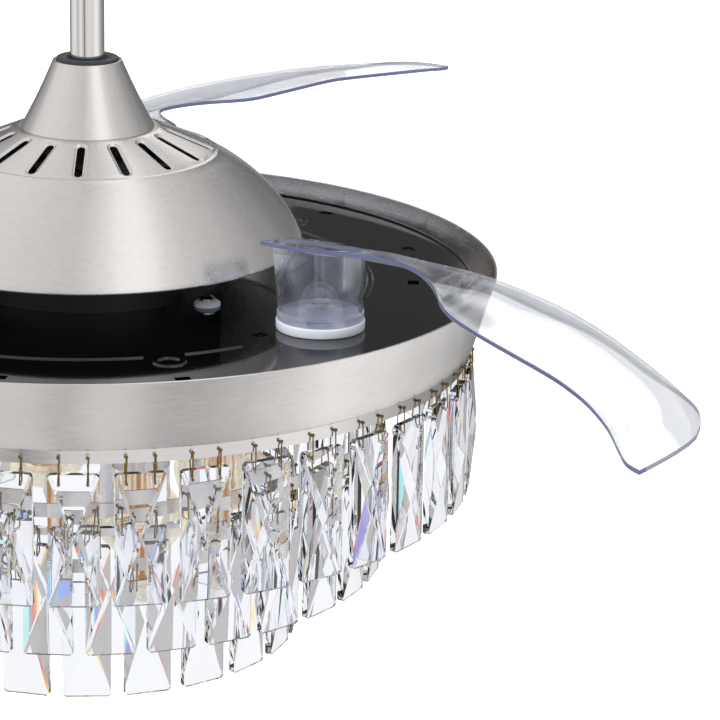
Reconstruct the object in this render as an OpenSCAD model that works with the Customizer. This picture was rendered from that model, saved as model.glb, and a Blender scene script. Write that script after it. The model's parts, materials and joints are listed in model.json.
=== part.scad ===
// Retractable blade ceiling fan with three tiers of cut crystals.
// The fan hangs along -Z from the ceiling face at Z = 0, on the vertical axis X = Y = 0.
// A still part (downrod, dome, pan, crystals, lamps) carries a spinning rotor with three
// clear blades, which swing out of their nest round the dome and are geared together.

/* [Downrod and canopy] */
// Length of the downrod
rod_len = 254; // [150:1:400]
// Outer diameter of the downrod
rod_d = 21; // [19:0.5:24]
// Wall of the downrod
rod_wall = 1.6; // [1.2:0.1:2.5]
// Diameter of the hanger ball
ball_d = 48; // [44:1:54]
// Diameter of the canopy at the ceiling
canopy_d = 134; // [126:1:160]
// Height of the canopy
canopy_h = 62; // [60:1:80]
// Distance between the two ceiling screws
ceiling_pitch = 89; // [80:1:92]
// Diameter of a ceiling screw slot's round end
ceiling_hole_d = 5.2; // [4.5:0.1:6]
// Greatest swing of the hanger ball in its seat, in degrees
ball_swing = 12; // [5:1:12]

/* [Coupling cover] */
// Diameter of the coupling cover where it meets the dome
cover_d = 82; // [78:1:90]
// Diameter of the coupling cover at the top
cover_top_d = 42; // [40:0.5:44]
// Height of the coupling cover
cover_h = 41.5; // [38:0.5:48]

/* [Dome] */
// Diameter of the dome at its lower edge
dome_d = 264.5; // [256:0.5:274]
// Height from the dome's lower edge up to its flat top
dome_h = 69.5; // [66:0.5:80]
// Thickness of the dome, pan and cover sheet
sheet = 1; // [0.8:0.1:1.5]
// Number of cooling slots round the dome
dome_slots = 16; // [10:1:20]
// Width of a cooling slot
slot_w = 4.8; // [3:0.1:6]

/* [Pan] */
// Diameter of the pan over its rim
pan_d = 508; // [504:1:540]
// Height of the flared nickel band
band_h = 43; // [42:1:60]
// How much narrower the band is at its lower edge, in diameter
band_taper = 27; // [16:1:28]
// Drop from the rim down to the black tray
tray_drop = 10; // [8:0.5:11]
// How much smaller than the pan's rim the black tray is, all round
tray_gap = 14; // [12:0.5:17]

/* [Blades] */
// Distance from the fan axis to a blade pivot
pivot_r = 178; // [177:0.5:184]
// Azimuth of the first blade pivot, counter-clockwise from +X
pivot_az = -40; // [-60:1:60]
// Length from the pivot to the blade's outer corner
blade_len = 380; // [350:1:384]
// Thickness of the blade
blade_t = 2.6; // [2:0.1:3.2]
// Rise of the blade's crown over a straight line between its two edges
blade_crown = 5; // [2:0.5:8]
// Drop of the blade's rolled trailing edge
blade_roll = 12; // [6:0.5:15]
// Angle that a blade swings through to fold in
fold_angle = 108; // [90:1:108]
// Outer diameter of a blade's root cup at its foot
cup_d = 52; // [50:0.5:54]

/* [Crystals] */
// Width of a crystal
crystal_w = 29; // [24:0.5:30]
// Height of a crystal in the top and middle tiers
crystal_h = 79; // [70:1:82]
// Height of a crystal in the lowest tier
low_crystal_h = 89; // [70:1:92]
// Thickness of a crystal at its middle
crystal_t = 12.5; // [9:0.5:14]
// Thickness of a crystal at its edges
crystal_edge = 4; // [3:0.2:5]
// Number of crystals in the top, middle and lowest tier
tier_n = [40, 32, 22];
// Radius of the middle hanging ring
ring_2_r = 184; // [172:1:190]
// Radius of the lowest hanging ring
ring_3_r = 129; // [127:1:140]
// Drop from the top ring to the middle ring
step_2 = 51.5; // [40:0.5:60]
// Drop from the middle ring to the lowest ring
step_3 = 39.5; // [36:0.5:50]

/* [Lamps] */
// Number of lamps
lamp_n = 4; // [3:1:4]
// Distance from the fan axis to a lamp
lamp_r = 88; // [80:1:90]
// Azimuth of the first lamp
lamp_az = -70; // [-90:1:0]
// Diameter of a bulb
bulb_d = 60; // [45:1:62]
// Length of a bulb's glass
bulb_len = 80; // [76:1:90]

/* [Hidden] */
$fn = 96;
EPS = 0.01;
RUN = 0.05;          // radial clearance of a running fit
GAP = 0.3;           // gap between faces that move past each other

slot_travel = 10.8;  // of a ceiling screw in its slot
mouth_gap = 11.5;    // between the canopy's mouth and the rod at the ball's greatest swing
seat_t = 6;          // thickness of the ball's seat
seat_play = 0.3;     // the ball's play over its seat
seat_x = 36;         // half length of the seat plate
seat_y = 27;         // half width of the seat plate

// ---- heights: the pan's rim is the middle datum of everything under the rod
ball_r = ball_d / 2;
rod_r = rod_d / 2;
ball_z = -40;
seat_top = ball_z - 6;
rod_top_z = ball_z + 12;
rod_grip = 29;                       // length of rod held in the coupling
socket_floor = 90;                   // coupling's rod socket over the pan rim
pan_z = rod_top_z - rod_len - socket_floor;

pan_r = pan_d / 2;
band_low_r = pan_r - band_taper / 2;
tray_r = pan_r - tray_gap;
dome_r = dome_d / 2;
dome_low = 16.5;
dome_top = dome_low + dome_h;
shoulder_r = 0.58 * dome_r;          // where the curved dome meets the slotted cone
dome_sink = 26.5;        // how far the ellipse's middle lies under the dome's lower edge
dome_b = dome_h + dome_sink + 3.3;      // the ellipse's half height
dome_a = dome_r / sqrt(1 - pow(dome_sink / dome_b, 2));     // and its half width
shoulder_z = dome_low - dome_sink + dome_b * sqrt(1 - pow(shoulder_r / dome_a, 2));

// ---- blades, pivots and gears
blades = 3;
pitch_az = 360 / blades;
sun_teeth = 150;
pinion_teeth = 28;
module_mm = 2 * pivot_r / (sun_teeth + pinion_teeth);
sun_r = module_mm * sun_teeth / 2;
pinion_r = module_mm * pinion_teeth / 2;
pinion_at = [12, 24];                // first and last tooth of a pinion's toothed arc
sun_at = [-12, 2];                   // the same for each of the sun gear's three arcs
shaft_r = 5;                         // pivot shaft
tray_t = 1.2;
tray_z = -tray_drop;                 // top face of the tray
plate_t = 2;
gear_room = 7.8;                     // between the tray and the rotor plate
plate_z = tray_z - tray_t - gear_room;
gear_t = 4.8;
gear_z = tray_z - tray_t - 6.3;
foot_t = 6;                          // white thrust ring under a blade's cup
cup_z = tray_z + foot_t + 0.1;
cup_r = cup_d / 2;
floor_t = 5;
wall_t = 2.2;

// ---- motor
axle_r = 7.5;                        // still shaft
bearing_r = 17.5;
bearing_w = 11;
ball_path = 12.5;
ball_bore = 3;
core_r = 64;
core_t = 24;
core_z = 24 + tray_z;
shell_in = 75;
shell_r = 82;
shell_low = tray_z;
shell_split = 36 + tray_z;
shell_top = 68 + tray_z;
bolt_r = 62;
hub_r = 117.92;                      // the sun gear turns on the hub disc
tray_screw_r = 97;

// ---- pan floor, rings and crystals
lip_z = -band_h;
floor_z = lip_z + sheet;
ring_h = 8.5;
ring_1_r = band_low_r - 2.5;
ring_hole = 4.2;                     // hole above a ring's lower edge
drop_gap = 6;                        // from a ring's lower edge to its crystals
hole_in = 5.8;                       // crystal hole below its top edge
hole_x = 8.2;                        // crystal hole either side of its middle
hole_r = 0.95;
wire = 0.9;
strap_w = 6.6;                       // hanger straps of the two lower rings
// each ring's radius, lower edge, number of crystals, first crystal's azimuth from the front
// and crystal height
rings = [
    [ring_1_r, lip_z - ring_h, tier_n[0], 6.7, crystal_h],
    [ring_2_r, lip_z - ring_h - step_2, tier_n[1], 3.4, crystal_h],
    [ring_3_r, lip_z - ring_h - step_2 - step_3, tier_n[2], -1.3, low_crystal_h],
];
cup_len = 62;
lamp_low = lip_z - cup_len;

NICKEL = "#B9B4AC";
STEEL = "#8E9093";
BLACK = "#101013";

// ================================================================ helpers

// a ring from z0 up to z1
module tube(r_out, r_in, z0, z1) {
    translate([0, 0, z0]) difference() {
        cylinder(r = r_out, h = z1 - z0);
        translate([0, 0, -1]) cylinder(r = r_in, h = z1 - z0 + 2);
    }
}

// a plain disc or rod from z0 up to z1
module rod(r, z0, z1) {
    translate([0, 0, z0]) cylinder(r = r, h = z1 - z0);
}

// copies n children round the axis, the first at azimuth az
module round_axis(n, az = 0) {
    for (i = [0:n - 1]) rotate(az + i * 360 / n) children();
}

// copies its children under the pan rim's height
module at_pan() {
    translate([0, 0, pan_z]) children();
}

// moves its children to the pivot of blade i
module at_pivot(i) {
    rotate(pivot_az + (i - 1) * pitch_az) translate([pivot_r, 0, 0]) children();
}

// a pan-head screw whose head rests on z = 0, its shank pointing down
module pan_screw(r, len, head_r, head_h) {
    difference() {
        union() {
            rod(r, -len, EPS);
            intersection() {
                rod(head_r, 0, head_h);
                translate([0, 0, head_h - 1.6 * head_r]) sphere(r = 1.6 * head_r);
            }
        }
        for (a = [0, 90]) rotate(a) translate([-head_r * 0.55, -0.5, head_h - 1.2])
            cube([head_r * 1.1, 1, 2]);
    }
}

// a six-sided nut round the axis
module hex_nut(across, bore, z0, h) {
    difference() {
        translate([0, 0, z0]) cylinder(r = across / sqrt(3), h = h, $fn = 6);
        rod(bore, z0 - 1, z0 + h + 1);
    }
}

function lerp(a, b, t) = a + (b - a) * t;
function clamp01(x) = min(1, max(0, x));
function smooth(x) = let (c = clamp01(x)) c * c * (3 - 2 * c);

// ================================================================ ceiling

module ceiling_bracket() {
    half = ceiling_pitch / 2;
    tab_x = canopy_d / 2 - 1 - sheet;
    wide_x = tab_x - 7;
    color("#A8A9A6") difference() {
        union() {
            translate([-tab_x, -10, -2]) cube([2 * tab_x, 20, 2]);
            translate([-wide_x, -18, -2]) cube([2 * wide_x, 36, 2]);
            for (s = [-1, 1]) {
                translate([s * (tab_x - 1) - 1, -9, -16]) cube([2, 18, 15]);
                translate([s * (seat_x - 1) - 1, -20, seat_top]) cube([2, 40, -1 - seat_top]);
            }
        }
        for (s = [-1, 1]) {
            for (x = [-1, 1]) translate([s * half + x * slot_travel / 2, 0, -3])
                cylinder(d = ceiling_hole_d, h = 4);
            translate([s * half - slot_travel / 2, -ceiling_hole_d / 2, -3])
                cube([slot_travel, ceiling_hole_d, 4]);
            translate([s * (tab_x - 3), 0, -9]) rotate([0, s * 90, 0])
                cylinder(r = 2, h = 6);
        }
    }
}

// the plate whose cone the ball sits in, with a mouth that the rod slides in by
module ball_seat() {
    lean = asin((ball_z - seat_top + seat_t / 2) / ball_r);
    ring = (ball_r + seat_play) / cos(lean) - (ball_z - seat_top) * tan(lean);
    color("#A8A9A6") difference() {
        translate([-seat_x, -seat_y, seat_top - seat_t]) cube([2 * seat_x, 2 * seat_y, seat_t]);
        translate([0, 0, seat_top - seat_t - 1])
            cylinder(r1 = ring - (seat_t + 1) * tan(lean), r2 = ring + tan(lean), h = seat_t + 2);
        translate([-rod_r - 2, 0, seat_top - seat_t - 1]) cube([2 * rod_r + 4, 30, seat_t + 2]);
    }
}

// the bell's outline: straight at the ceiling, then a quarter ellipse down to the flat
module bell_profile(inset, top) {
    r = canopy_d / 2;
    fall = canopy_h - 14;
    low_r = r - 25;
    polygon(concat(
        [[0, top], [r - inset, top]],
        [for (a = [0:7.5:90])
            [low_r + (r - low_r - inset) * cos(a), -14 - (fall - inset) * sin(a)]],
        [[0, -canopy_h + inset]]));
}

module canopy() {
    mouth_r = rod_r / cos(ball_swing) + (canopy_h + ball_z) * tan(ball_swing) + mouth_gap;
    color(NICKEL) difference() {
        rotate_extrude() bell_profile(0, 0);
        rotate_extrude() bell_profile(sheet, 1);
        rod(mouth_r, -canopy_h - 1, -canopy_h + 4);
        for (s = [-1, 1]) translate([s * (canopy_d / 2 - 4), 0, -9]) rotate([0, s * 90, 0])
            cylinder(r = 2.2, h = 8);
    }
}

module canopy_screws() {
    color(NICKEL) for (s = [-1, 1])
        translate([s * canopy_d / 2, 0, -9]) rotate([0, s * 90, 0]) pan_screw(1.95, 6, 4, 2.6);
}

module remote_receiver() {
    color("#E9E9E6") difference() {
        translate([-31, -16, -22]) cube([62, 32, 20]);
        translate([-24, -17, -23]) cube([48, 2, 10]);
    }
}

// ================================================================ rod, ball and coupling

module hanger_ball() {
    color("#2B2B2D") difference() {
        translate([0, 0, ball_z]) sphere(r = ball_r);
        rod(ball_r + 2, ball_z + 10, ball_z + 40);
        rod(ball_r + 2, ball_z - 40, ball_z - ball_r * 0.82);
        rod(rod_r, ball_z - 40, ball_z + 40);
        translate([0, 0, ball_z]) rotate([90, 0, 0]) cylinder(r = pin_r, h = 60, center = true);
    }
}

coupling_top = socket_floor + rod_grip;
pin_up = socket_floor + 15;
pin_r = 3;

// the ball and the rod turn about this pin, and with it about the seat's centre
module ball_pin() {
    color(STEEL) translate([0, 0, ball_z]) rotate([90, 0, 0])
        cylinder(r = pin_r - RUN, h = 2 * ball_r - 4, center = true);
}

module downrod() {
    color(NICKEL) difference() {
        tube(rod_r, rod_r - rod_wall, rod_top_z - rod_len, rod_top_z);
        for (z = [ball_z, pan_z + pin_up]) translate([0, 0, z]) rotate([90, 0, 0])
            cylinder(r = pin_r, h = 40, center = true);
    }
}

module rod_coupling() {
    color("#4A4B4E") at_pan() difference() {
        union() {
            rod(18, 66, coupling_top);
            rod(36, dome_top - sheet - 4, dome_top - sheet);
        }
        rod(rod_r, socket_floor, coupling_top + 1);
        rod(axle_r, 65, socket_floor - 2);
        rod(4.5, 65, socket_floor + 1);
        translate([0, 0, pin_up]) rotate([90, 0, 0]) cylinder(r = pin_r, h = 50, center = true);
        for (s = [-1, 1]) translate([s * 8, 0, coupling_top - 6]) rotate([0, s * 90, 0])
            cylinder(r = 2.5, h = 14);
        round_axis(4, 45) translate([29, 0, dome_top - 12]) cylinder(r = 1.9, h = 14);
    }
}

// the cross pin that carries the fan, and the two set screws above it
module coupling_pins() {
    color(STEEL) at_pan() {
        translate([0, 0, pin_up]) rotate([90, 0, 0]) cylinder(r = pin_r, h = 42, center = true);
        for (s = [-1, 1]) translate([s * rod_r, 0, coupling_top - 6]) rotate([0, s * 90, 0]) {
            cylinder(r = 2.5, h = 9);
            translate([0, 0, 9 - EPS]) cylinder(r = 2.2, h = 1.2, $fn = 6);
        }
    }
}

cover_z = dome_top + cover_h;

module rubber_ring() {
    color("#26282C") at_pan() difference() {
        union() {
            rod(cover_top_d / 2 - 2.1, cover_z - 3, cover_z + 1.6);
            rod(cover_top_d / 2 - 4, cover_z - 5.5, cover_z - 2);
        }
        rod(rod_r, cover_z - 8, cover_z + 4);
        translate([0, 0, cover_z - 1.2]) cylinder(r1 = rod_r, r2 = rod_r + 2.6, h = 2.9);
    }
}

cover_hollow = 0.7;

// the cover's wall, hollowed slightly between its two ends
function cover_at(t, inset) =
    [lerp(cover_d / 2, cover_top_d / 2, t) - cover_hollow * sin(180 * t) - inset, dome_top + cover_h * t];

module coupling_cover() {
    steps = [0:0.125:1];
    rim = cover_top_d / 2;
    color(NICKEL) at_pan() rotate_extrude() polygon(concat(
        [for (t = steps) cover_at(t, 0)],
        [[rim - 2, cover_z], [rim - 2, cover_z - sheet], [rim - sheet, cover_z - sheet]],
        [for (t = [0.875:-0.125:0]) cover_at(t, sheet)]));
}

// ================================================================ dome

shoulder_a = acos(shoulder_r / dome_a);

// the dome's curved part: a low ellipse, from its lower edge (0) to the shoulder (1)
function dome_at(t, inset) =
    let (a = lerp(asin(dome_sink / (dome_b - inset)), shoulder_a, t))
    [(dome_a - inset) * cos(a), dome_low - dome_sink + (dome_b - inset) * sin(a)];

module dome_profile() {
    arc = [for (i = [0:12]) i / 12];
    polygon(concat(
        [for (a = arc) dome_at(a, 0)],
        [[shoulder_r - 2, shoulder_z + 0.9], [44, dome_top], [18.3, dome_top],
         [18.3, dome_top - sheet], [43.5, dome_top - sheet],
         [shoulder_r - 2, shoulder_z - sheet]],
        [for (i = [12:-1:0]) dome_at(arc[i], sheet)],
        [[dome_r - 4, dome_low], [dome_r - 4, dome_low - sheet], [dome_r, dome_low - sheet]]));
}

module dome() {
    in_r = 50;
    out_r = 73;
    color(NICKEL) at_pan() difference() {
        rotate_extrude() dome_profile();
        round_axis(dome_slots, -94.7) {
            translate([in_r, -slot_w / 2, 60]) cube([out_r - in_r, slot_w, 40]);
            for (r = [in_r, out_r]) translate([r, 0, 60]) cylinder(d = slot_w, h = 40);
        }
        round_axis(4, 45) translate([29, 0, dome_top - 4]) cylinder(r = 2.2, h = 6);
    }
}

module dome_screws() {
    color(STEEL) at_pan() round_axis(4, 45)
        translate([29, 0, dome_top]) pan_screw(1.9, 8, 3.6, 2.4);
}

// ================================================================ motor, still half

module motor_axle() {
    color(STEEL) at_pan() tube(axle_r, 4.5, lip_z - 9, socket_floor - 2);
}

module tooth_2d() {
    translate([28, -4.5]) square([34, 9]);
    intersection() {
        difference() {
            circle(r = core_r);
            circle(r = core_r - 4);
        }
        polygon([[0, 0], [80 * cos(12.5), -80 * sin(12.5)], [80 * cos(12.5), 80 * sin(12.5)]]);
    }
}

module stator_core() {
    color("#6C6E70") at_pan() translate([0, 0, core_z - core_t / 2 + 2])
        linear_extrude(core_t) difference() {
            union() {
                circle(r = 31);
                round_axis(12) tooth_2d();
            }
            circle(r = axle_r);
        }
}

module stator_windings() {
    mid = core_z + 2;
    color("#B4682F") at_pan() round_axis(12) difference() {
        translate([32, -7.6, mid - 18]) cube([24, 15.2, 36]);
        translate([31, -4.5, mid - core_t / 2]) cube([26, 9, core_t]);
        // the coil is wedge-shaped where it meets its neighbour
        for (s = [-1, 1]) rotate(s * 15) translate([20, s > 0 ? -0.4 : -20, mid - 19])
            cube([60, 20.4, 38]);
    }
}

// groove radius is a hair over the balls'
module race(r_in, r_out, z) {
    translate([0, 0, z]) difference() {
        tube(r_out, r_in, 0, bearing_w);
        translate([0, 0, bearing_w / 2]) rotate_extrude() translate([ball_path, 0])
            circle(r = ball_bore + RUN, $fn = 48);
    }
}

low_bearing = shell_low + 2;
top_bearing = shell_top - 2 - bearing_w;

module bearing_inner_races() {
    color("#C9CBCD") at_pan() for (z = [low_bearing, top_bearing]) race(axle_r, 10.6, z);
}

// ================================================================ motor, turning half

module bearing_outer_races() {
    color("#C9CBCD") at_pan() for (z = [low_bearing, top_bearing]) race(14.4, bearing_r, z);
}

module bearing_balls() {
    color("#DADCDE") at_pan() for (z = [low_bearing, top_bearing])
        translate([0, 0, z + bearing_w / 2]) round_axis(8) translate([ball_path, 0, 0])
            sphere(r = ball_bore, $fn = 32);
}

module bolt_holes(z0, z1) {
    round_axis(6, 30) translate([bolt_r, 0, z0]) cylinder(r = 2.5, h = z1 - z0);
}

module lower_motor_shell() {
    color("#3A3B3E") at_pan() difference() {
        union() {
            tube(shell_r, shell_in, shell_low, shell_split);
            rod(shell_r, shell_low, shell_low + 10);
            rod(23, shell_low, low_bearing + bearing_w);
        }
        rod(13, shell_low - 1, shell_low + 30);
        rod(bearing_r, low_bearing, shell_low + 30);
        tube(58, 23, shell_low + 5, shell_low + 12);
        bolt_holes(shell_low - 1, shell_low + 8);
    }
}

module upper_motor_shell() {
    color("#3A3B3E") at_pan() difference() {
        union() {
            tube(shell_r, shell_in, shell_split, shell_top);
            rod(shell_r, shell_top - 5, shell_top);
            rod(23, top_bearing, shell_top);
        }
        rod(13, shell_top - 30, shell_top + 1);
        rod(bearing_r, shell_top - 40, top_bearing + bearing_w);
        // cooling windows in the end wall
        round_axis(8) translate([32, -7, shell_top - 8]) cube([34, 14, 12]);
    }
}

module magnet_ring() {
    color("#55565A") at_pan() round_axis(12, 15) intersection() {
        tube(shell_in, core_r + 0.6, core_z - 14, core_z + 18);
        rotate(-14) cube([100, 100, 100]);
        rotate(-76) cube([100, 100, 100]);
    }
}

// ================================================================ rotor tray and gears

module hub_disc() {
    color("#9A9B9D") at_pan() difference() {
        union() {
            tube(hub_r, 30, plate_z, tray_z - tray_t);
            // the ledge that the sun gear rests on
            tube(hub_r + 4, hub_r - 1, plate_z, gear_z - GAP);
        }
        bolt_holes(plate_z - 1, tray_z);
        round_axis(blades, pivot_az - 3) translate([tray_screw_r, 0, plate_z - 1])
            cylinder(r = 2.5, h = 12);
        // lightening holes
        round_axis(12, 15) translate([84, 0, plate_z - 1]) cylinder(r = 9, h = 12);
    }
}

module motor_bolts() {
    color(STEEL) at_pan() round_axis(6, 30) translate([bolt_r, 0, plate_z - plate_t])
        rotate([180, 0, 0]) {
            translate([0, 0, -plate_t - gear_room - tray_t - 8 + EPS])
                cylinder(r = 2.5, h = plate_t + gear_room + tray_t + 8);
            cylinder(r = 4.6, h = 3.6, $fn = 6);
        }
}

spoke_az = pitch_az / 2;     // the plate's standoffs lie midway between two pivots
standoff_r = tray_r - 32;
rotor_plate_r = tray_r - 16;
window_r = [134, tray_r - 48];

module rotor_plate() {
    color("#77797C") at_pan() difference() {
        union() {
            rod(rotor_plate_r, plate_z - plate_t, plate_z);
            round_axis(blades, pivot_az + spoke_az) for (a = [-9, 9]) rotate(a)
                translate([standoff_r, 0, 0]) rod(4, plate_z - EPS, tray_z - tray_t);
        }
        rod(30, plate_z - 5, plate_z + 1);
        bolt_holes(plate_z - plate_t - 1, plate_z + 1);
        for (i = [1:blades]) at_pivot(i) {
            rod(8, plate_z - 5, plate_z + 1);
            for (s = [-1, 1]) rotate(s * stop_az) translate([stop_r, 0, 0])
                rod(1.8, plate_z - 5, plate_z + 1);
            rotate(spring_az) translate([anchor_r, 0, 0]) rod(spring_wire, plate_z - 5, plate_z + 1);
        }
        // windows between the pivots
        round_axis(blades, pivot_az + spoke_az) for (a = [-18, 18]) rotate(a - 13)
            translate([0, 0, plate_z - plate_t - 1]) rotate_extrude(angle = 26)
                translate([window_r[0], 0]) square([window_r[1] - window_r[0], plate_t + 2]);
    }
}

// section of a bead stamped in the tray
module bead_2d() {
    polygon([[-2.4, 0], [2.4, 0], [1.2, 0.9], [-1.2, 0.9]]);
}

// the bead between two pivots: a long arc, a round dimple beside it and a short arc
module tray_bead() {
    bead_r = tray_r - 65;
    rotate_extrude(angle = 58) translate([bead_r, 0]) bead_2d();
    rotate(66) rotate_extrude(angle = 12) translate([bead_r, 0]) bead_2d();
    rotate(62) translate([bead_r + 12, 0, 0]) rotate_extrude() translate([8, 0]) bead_2d();
}

module tray() {
    color(BLACK) at_pan() difference() {
        union() {
            rod(tray_r, tray_z - tray_t, tray_z);
            tube(tray_r, tray_r - 1.4, tray_z - 4, tray_z + 1);
            round_axis(blades, pivot_az + spoke_az - 38) translate([0, 0, tray_z - EPS])
                tray_bead();
        }
        rod(30, tray_z - 5, tray_z + 5);
        bolt_holes(tray_z - 5, tray_z + 5);
        round_axis(blades, pivot_az - 3) translate([tray_screw_r, 0, tray_z - 5])
            cylinder(r = 2.6, h = 10);
        for (i = [1:blades]) at_pivot(i) rod(8, tray_z - 5, tray_z + 5);
        // spring and gear windows, the same four in each third of the tray
        round_axis(blades, pivot_az) for (h = [[76, -12.4], [38, 34.6], [26, 56.3], [20, 83.7]])
            rotate(h[1]) translate([tray_r - h[0] - 3.5, -4.5, tray_z - 5]) cube([7, 9, 10]);
    }
}

module tray_screws() {
    color("#D5D6D8") at_pan() round_axis(blades, pivot_az - 3)
        translate([tray_screw_r, 0, tray_z + 3.2]) pan_screw(2.5, 10, 4.8, 3.2);
}

module tray_washers() {
    color("#EDEDEA") at_pan() round_axis(blades, pivot_az - 3)
        translate([tray_screw_r, 0, tray_z]) difference() {
            union() {
                cylinder(r = 8.2, h = 1.8);
                translate([0, 0, 1.8 - EPS]) cylinder(r1 = 8.2, r2 = 6.4, h = 1.4 + EPS);
            }
            translate([0, 0, -1]) cylinder(r = 2.5, h = 6);
        }
}

module pivot_feet() {
    color("#F1F1EE") at_pan() for (i = [1:blades]) at_pivot(i) difference() {
        union() {
            rod(cup_r + 0.5, tray_z, tray_z + foot_t);
            rod(8, tray_z - tray_t - 1, tray_z + 1);
        }
        rod(shaft_r + RUN, tray_z - 5, tray_z + foot_t + 1);
    }
}

module pivot_bushes() {
    color("#B08D57") at_pan() for (i = [1:blades]) at_pivot(i) difference() {
        union() {
            rod(8, plate_z - plate_t - EPS, plate_z);
            rod(10.5, plate_z - plate_t - 1.2, plate_z - plate_t);
        }
        rod(shaft_r + RUN, plate_z - 8, plate_z + 1);
    }
}

stop_r = pinion_r + 6.6;
post_r = 2.5;
lug_w = 8;
stop_az = fold_angle / 2 + asin((lug_w / 2 + post_r + GAP) / stop_r);

module stop_posts() {
    color(STEEL) at_pan() for (i = [1:blades]) at_pivot(i) for (s = [-1, 1])
        rotate(s * stop_az) translate([stop_r, 0, 0]) {
            rod(1.8, plate_z - plate_t, plate_z + EPS);
            rod(post_r, plate_z, tray_z - tray_t);
        }
}

// ---- gears
function inv(a) = tan(a) * 180 / PI - a;
// half the angle that a tooth spans at radius q, for z teeth of the fan's module
function tooth_half(q, z, slack) =
    let (r = module_mm * z / 2, base = r * cos(20))
    90 / z - slack / r * 90 / PI + inv(20) - (q > base ? inv(acos(base / q)) : 0);

module gear_tooth(z, slack) {
    r = module_mm * z / 2;
    root = r - 1.25 * module_mm;
    tip = r + 0.95 * module_mm;
    steps = [root - 1, root, r - 0.6 * module_mm, r, r + 0.5 * module_mm, tip];
    polygon(concat(
        [for (q = steps) let (h = tooth_half(max(q, root), z, slack)) [q * cos(h), q * sin(h)]],
        [for (i = [5:-1:0]) let (q = steps[i], h = tooth_half(max(q, root), z, slack))
            [q * cos(h), -q * sin(h)]]));
}

module pinion(i) {
    root = pinion_r - 1.25 * module_mm;
    first = pinion_at[0] * 360 / pinion_teeth;
    last = pinion_at[1] * 360 / pinion_teeth;
    color("#E4E2D8") at_pan() at_pivot(i) difference() {
        union() {
            translate([0, 0, gear_z]) linear_extrude(gear_t)
                for (k = [pinion_at[0]:pinion_at[1]]) rotate(k * 360 / pinion_teeth)
                    gear_tooth(pinion_teeth, 0.12);
            translate([0, 0, gear_z]) rotate(first - 6) rotate_extrude(angle = last - first + 12)
                translate([2, 0]) square([root - 2, gear_t]);
            rod(14, gear_z, gear_z + gear_t);
            // the lug that meets the stop posts
            rotate(fold_angle / 2) translate([8, -lug_w / 2, gear_z])
                cube([stop_r - 5, lug_w, gear_t]);
        }
        difference() {
            rod(shaft_r, gear_z - 1, gear_z + gear_t + 1);
            translate([shaft_r - 1, -10, gear_z - 2]) cube([20, 20, gear_t + 4]);
        }
    }
}

module sun_gear() {
    color("#E4E2D8") at_pan() translate([0, 0, gear_z]) difference() {
        union() {
            cylinder(r = hub_r + 10, h = gear_t);
            round_axis(blades, pivot_az) {
                linear_extrude(gear_t) for (k = [sun_at[0]:sun_at[1]])
                    rotate((k + 0.5) * 360 / sun_teeth) gear_tooth(sun_teeth, 0.12);
                rotate((sun_at[0] - 0.5) * 360 / sun_teeth)
                    rotate_extrude(angle = (sun_at[1] - sun_at[0] + 2) * 360 / sun_teeth)
                        translate([hub_r + 5, 0])
                            square([sun_r - 1.25 * module_mm - hub_r - 5, gear_t]);
            }
        }
        translate([0, 0, -1]) cylinder(r = hub_r + 0.08, h = gear_t + 2);
    }
}

// ---- return springs under the rotor plate
spring_r = 11;
spring_wire = 0.8;
spring_turns = 4;
spring_lead = 2;         // drop of the coil in one turn
spring_az = 115;
anchor_r = 19;
spring_top = plate_z - plate_t - 2.4;
spring_end = spring_top - spring_lead * spring_turns;
collar_h = 3;
collar_z = spring_end - spring_wire - GAP - collar_h;

// centre of the spring wire after a given number of turns
function coil_at(t) = [
    spring_r * cos(360 * t + spring_az), spring_r * sin(360 * t + spring_az),
    spring_top - spring_lead * t];

// a tube of radius r along a path of points
module sweep(path, r, sides = 6) {
    n = len(path);
    function side(k) = let (d = path[min(k + 1, n - 1)] - path[max(k - 1, 0)]) d / norm(d);
    function ring(k) = let (d = side(k), u0 = cross(d, abs(d[2]) > 0.9 ? [1, 0, 0] : [0, 0, 1]),
        u = u0 / norm(u0), v = cross(d, u))
        [for (j = [0:sides - 1]) let (a = 360 * j / sides) path[k] + r * (u * cos(a) + v * sin(a))];
    polyhedron(
        points = [for (k = [0:n - 1]) each ring(k)],
        faces = concat(
            [[for (j = [0:sides - 1]) j]],
            [[for (j = [sides - 1:-1:0]) (n - 1) * sides + j]],
            [for (k = [0:n - 2], j = [0:sides - 1]) let (m = (j + 1) % sides)
                [k * sides + j, (k + 1) * sides + j, (k + 1) * sides + m, k * sides + m]]));
}

module return_springs() {
    out = [cos(spring_az), sin(spring_az), 0];
    color("#B9BCC0") at_pan() for (i = [1:blades]) at_pivot(i) sweep(concat(
        [anchor_r * out + [0, 0, plate_z],
         anchor_r * out + [0, 0, spring_top + 1],
         (anchor_r - 1.5) * out + [0, 0, spring_top]],
        [for (k = [0:spring_turns * 12]) coil_at(k / 12)],
        [coil_at(spring_turns) - [0, 0, 1.2], coil_at(spring_turns) - [0, 0, 3]]),
        spring_wire);
}

// ================================================================ blades

module pivot_shaft(i) {
    head = cup_z + floor_t;
    color("#C8CACC") at_pan() at_pivot(i) {
        difference() {
            union() {
                rod(shaft_r, collar_z, head + 1);
                rod(7.5, head, head + 1.4);
                translate([0, 0, head + 1.4 - EPS]) cylinder(r = 6, h = 4, $fn = 6);
            }
            // flats that carry the pinion and the cup
            for (z = [[gear_z, gear_t], [cup_z, floor_t]]) translate([shaft_r - 1, -6, z[0]])
                cube([4, 12, z[1]]);
        }
        difference() {
            tube(13.5, shaft_r, collar_z, collar_z + collar_h);
            translate([coil_at(0)[0], coil_at(0)[1], 0])
                rod(spring_wire, collar_z - 1, collar_z + collar_h + 1);
        }
    }
}

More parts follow.
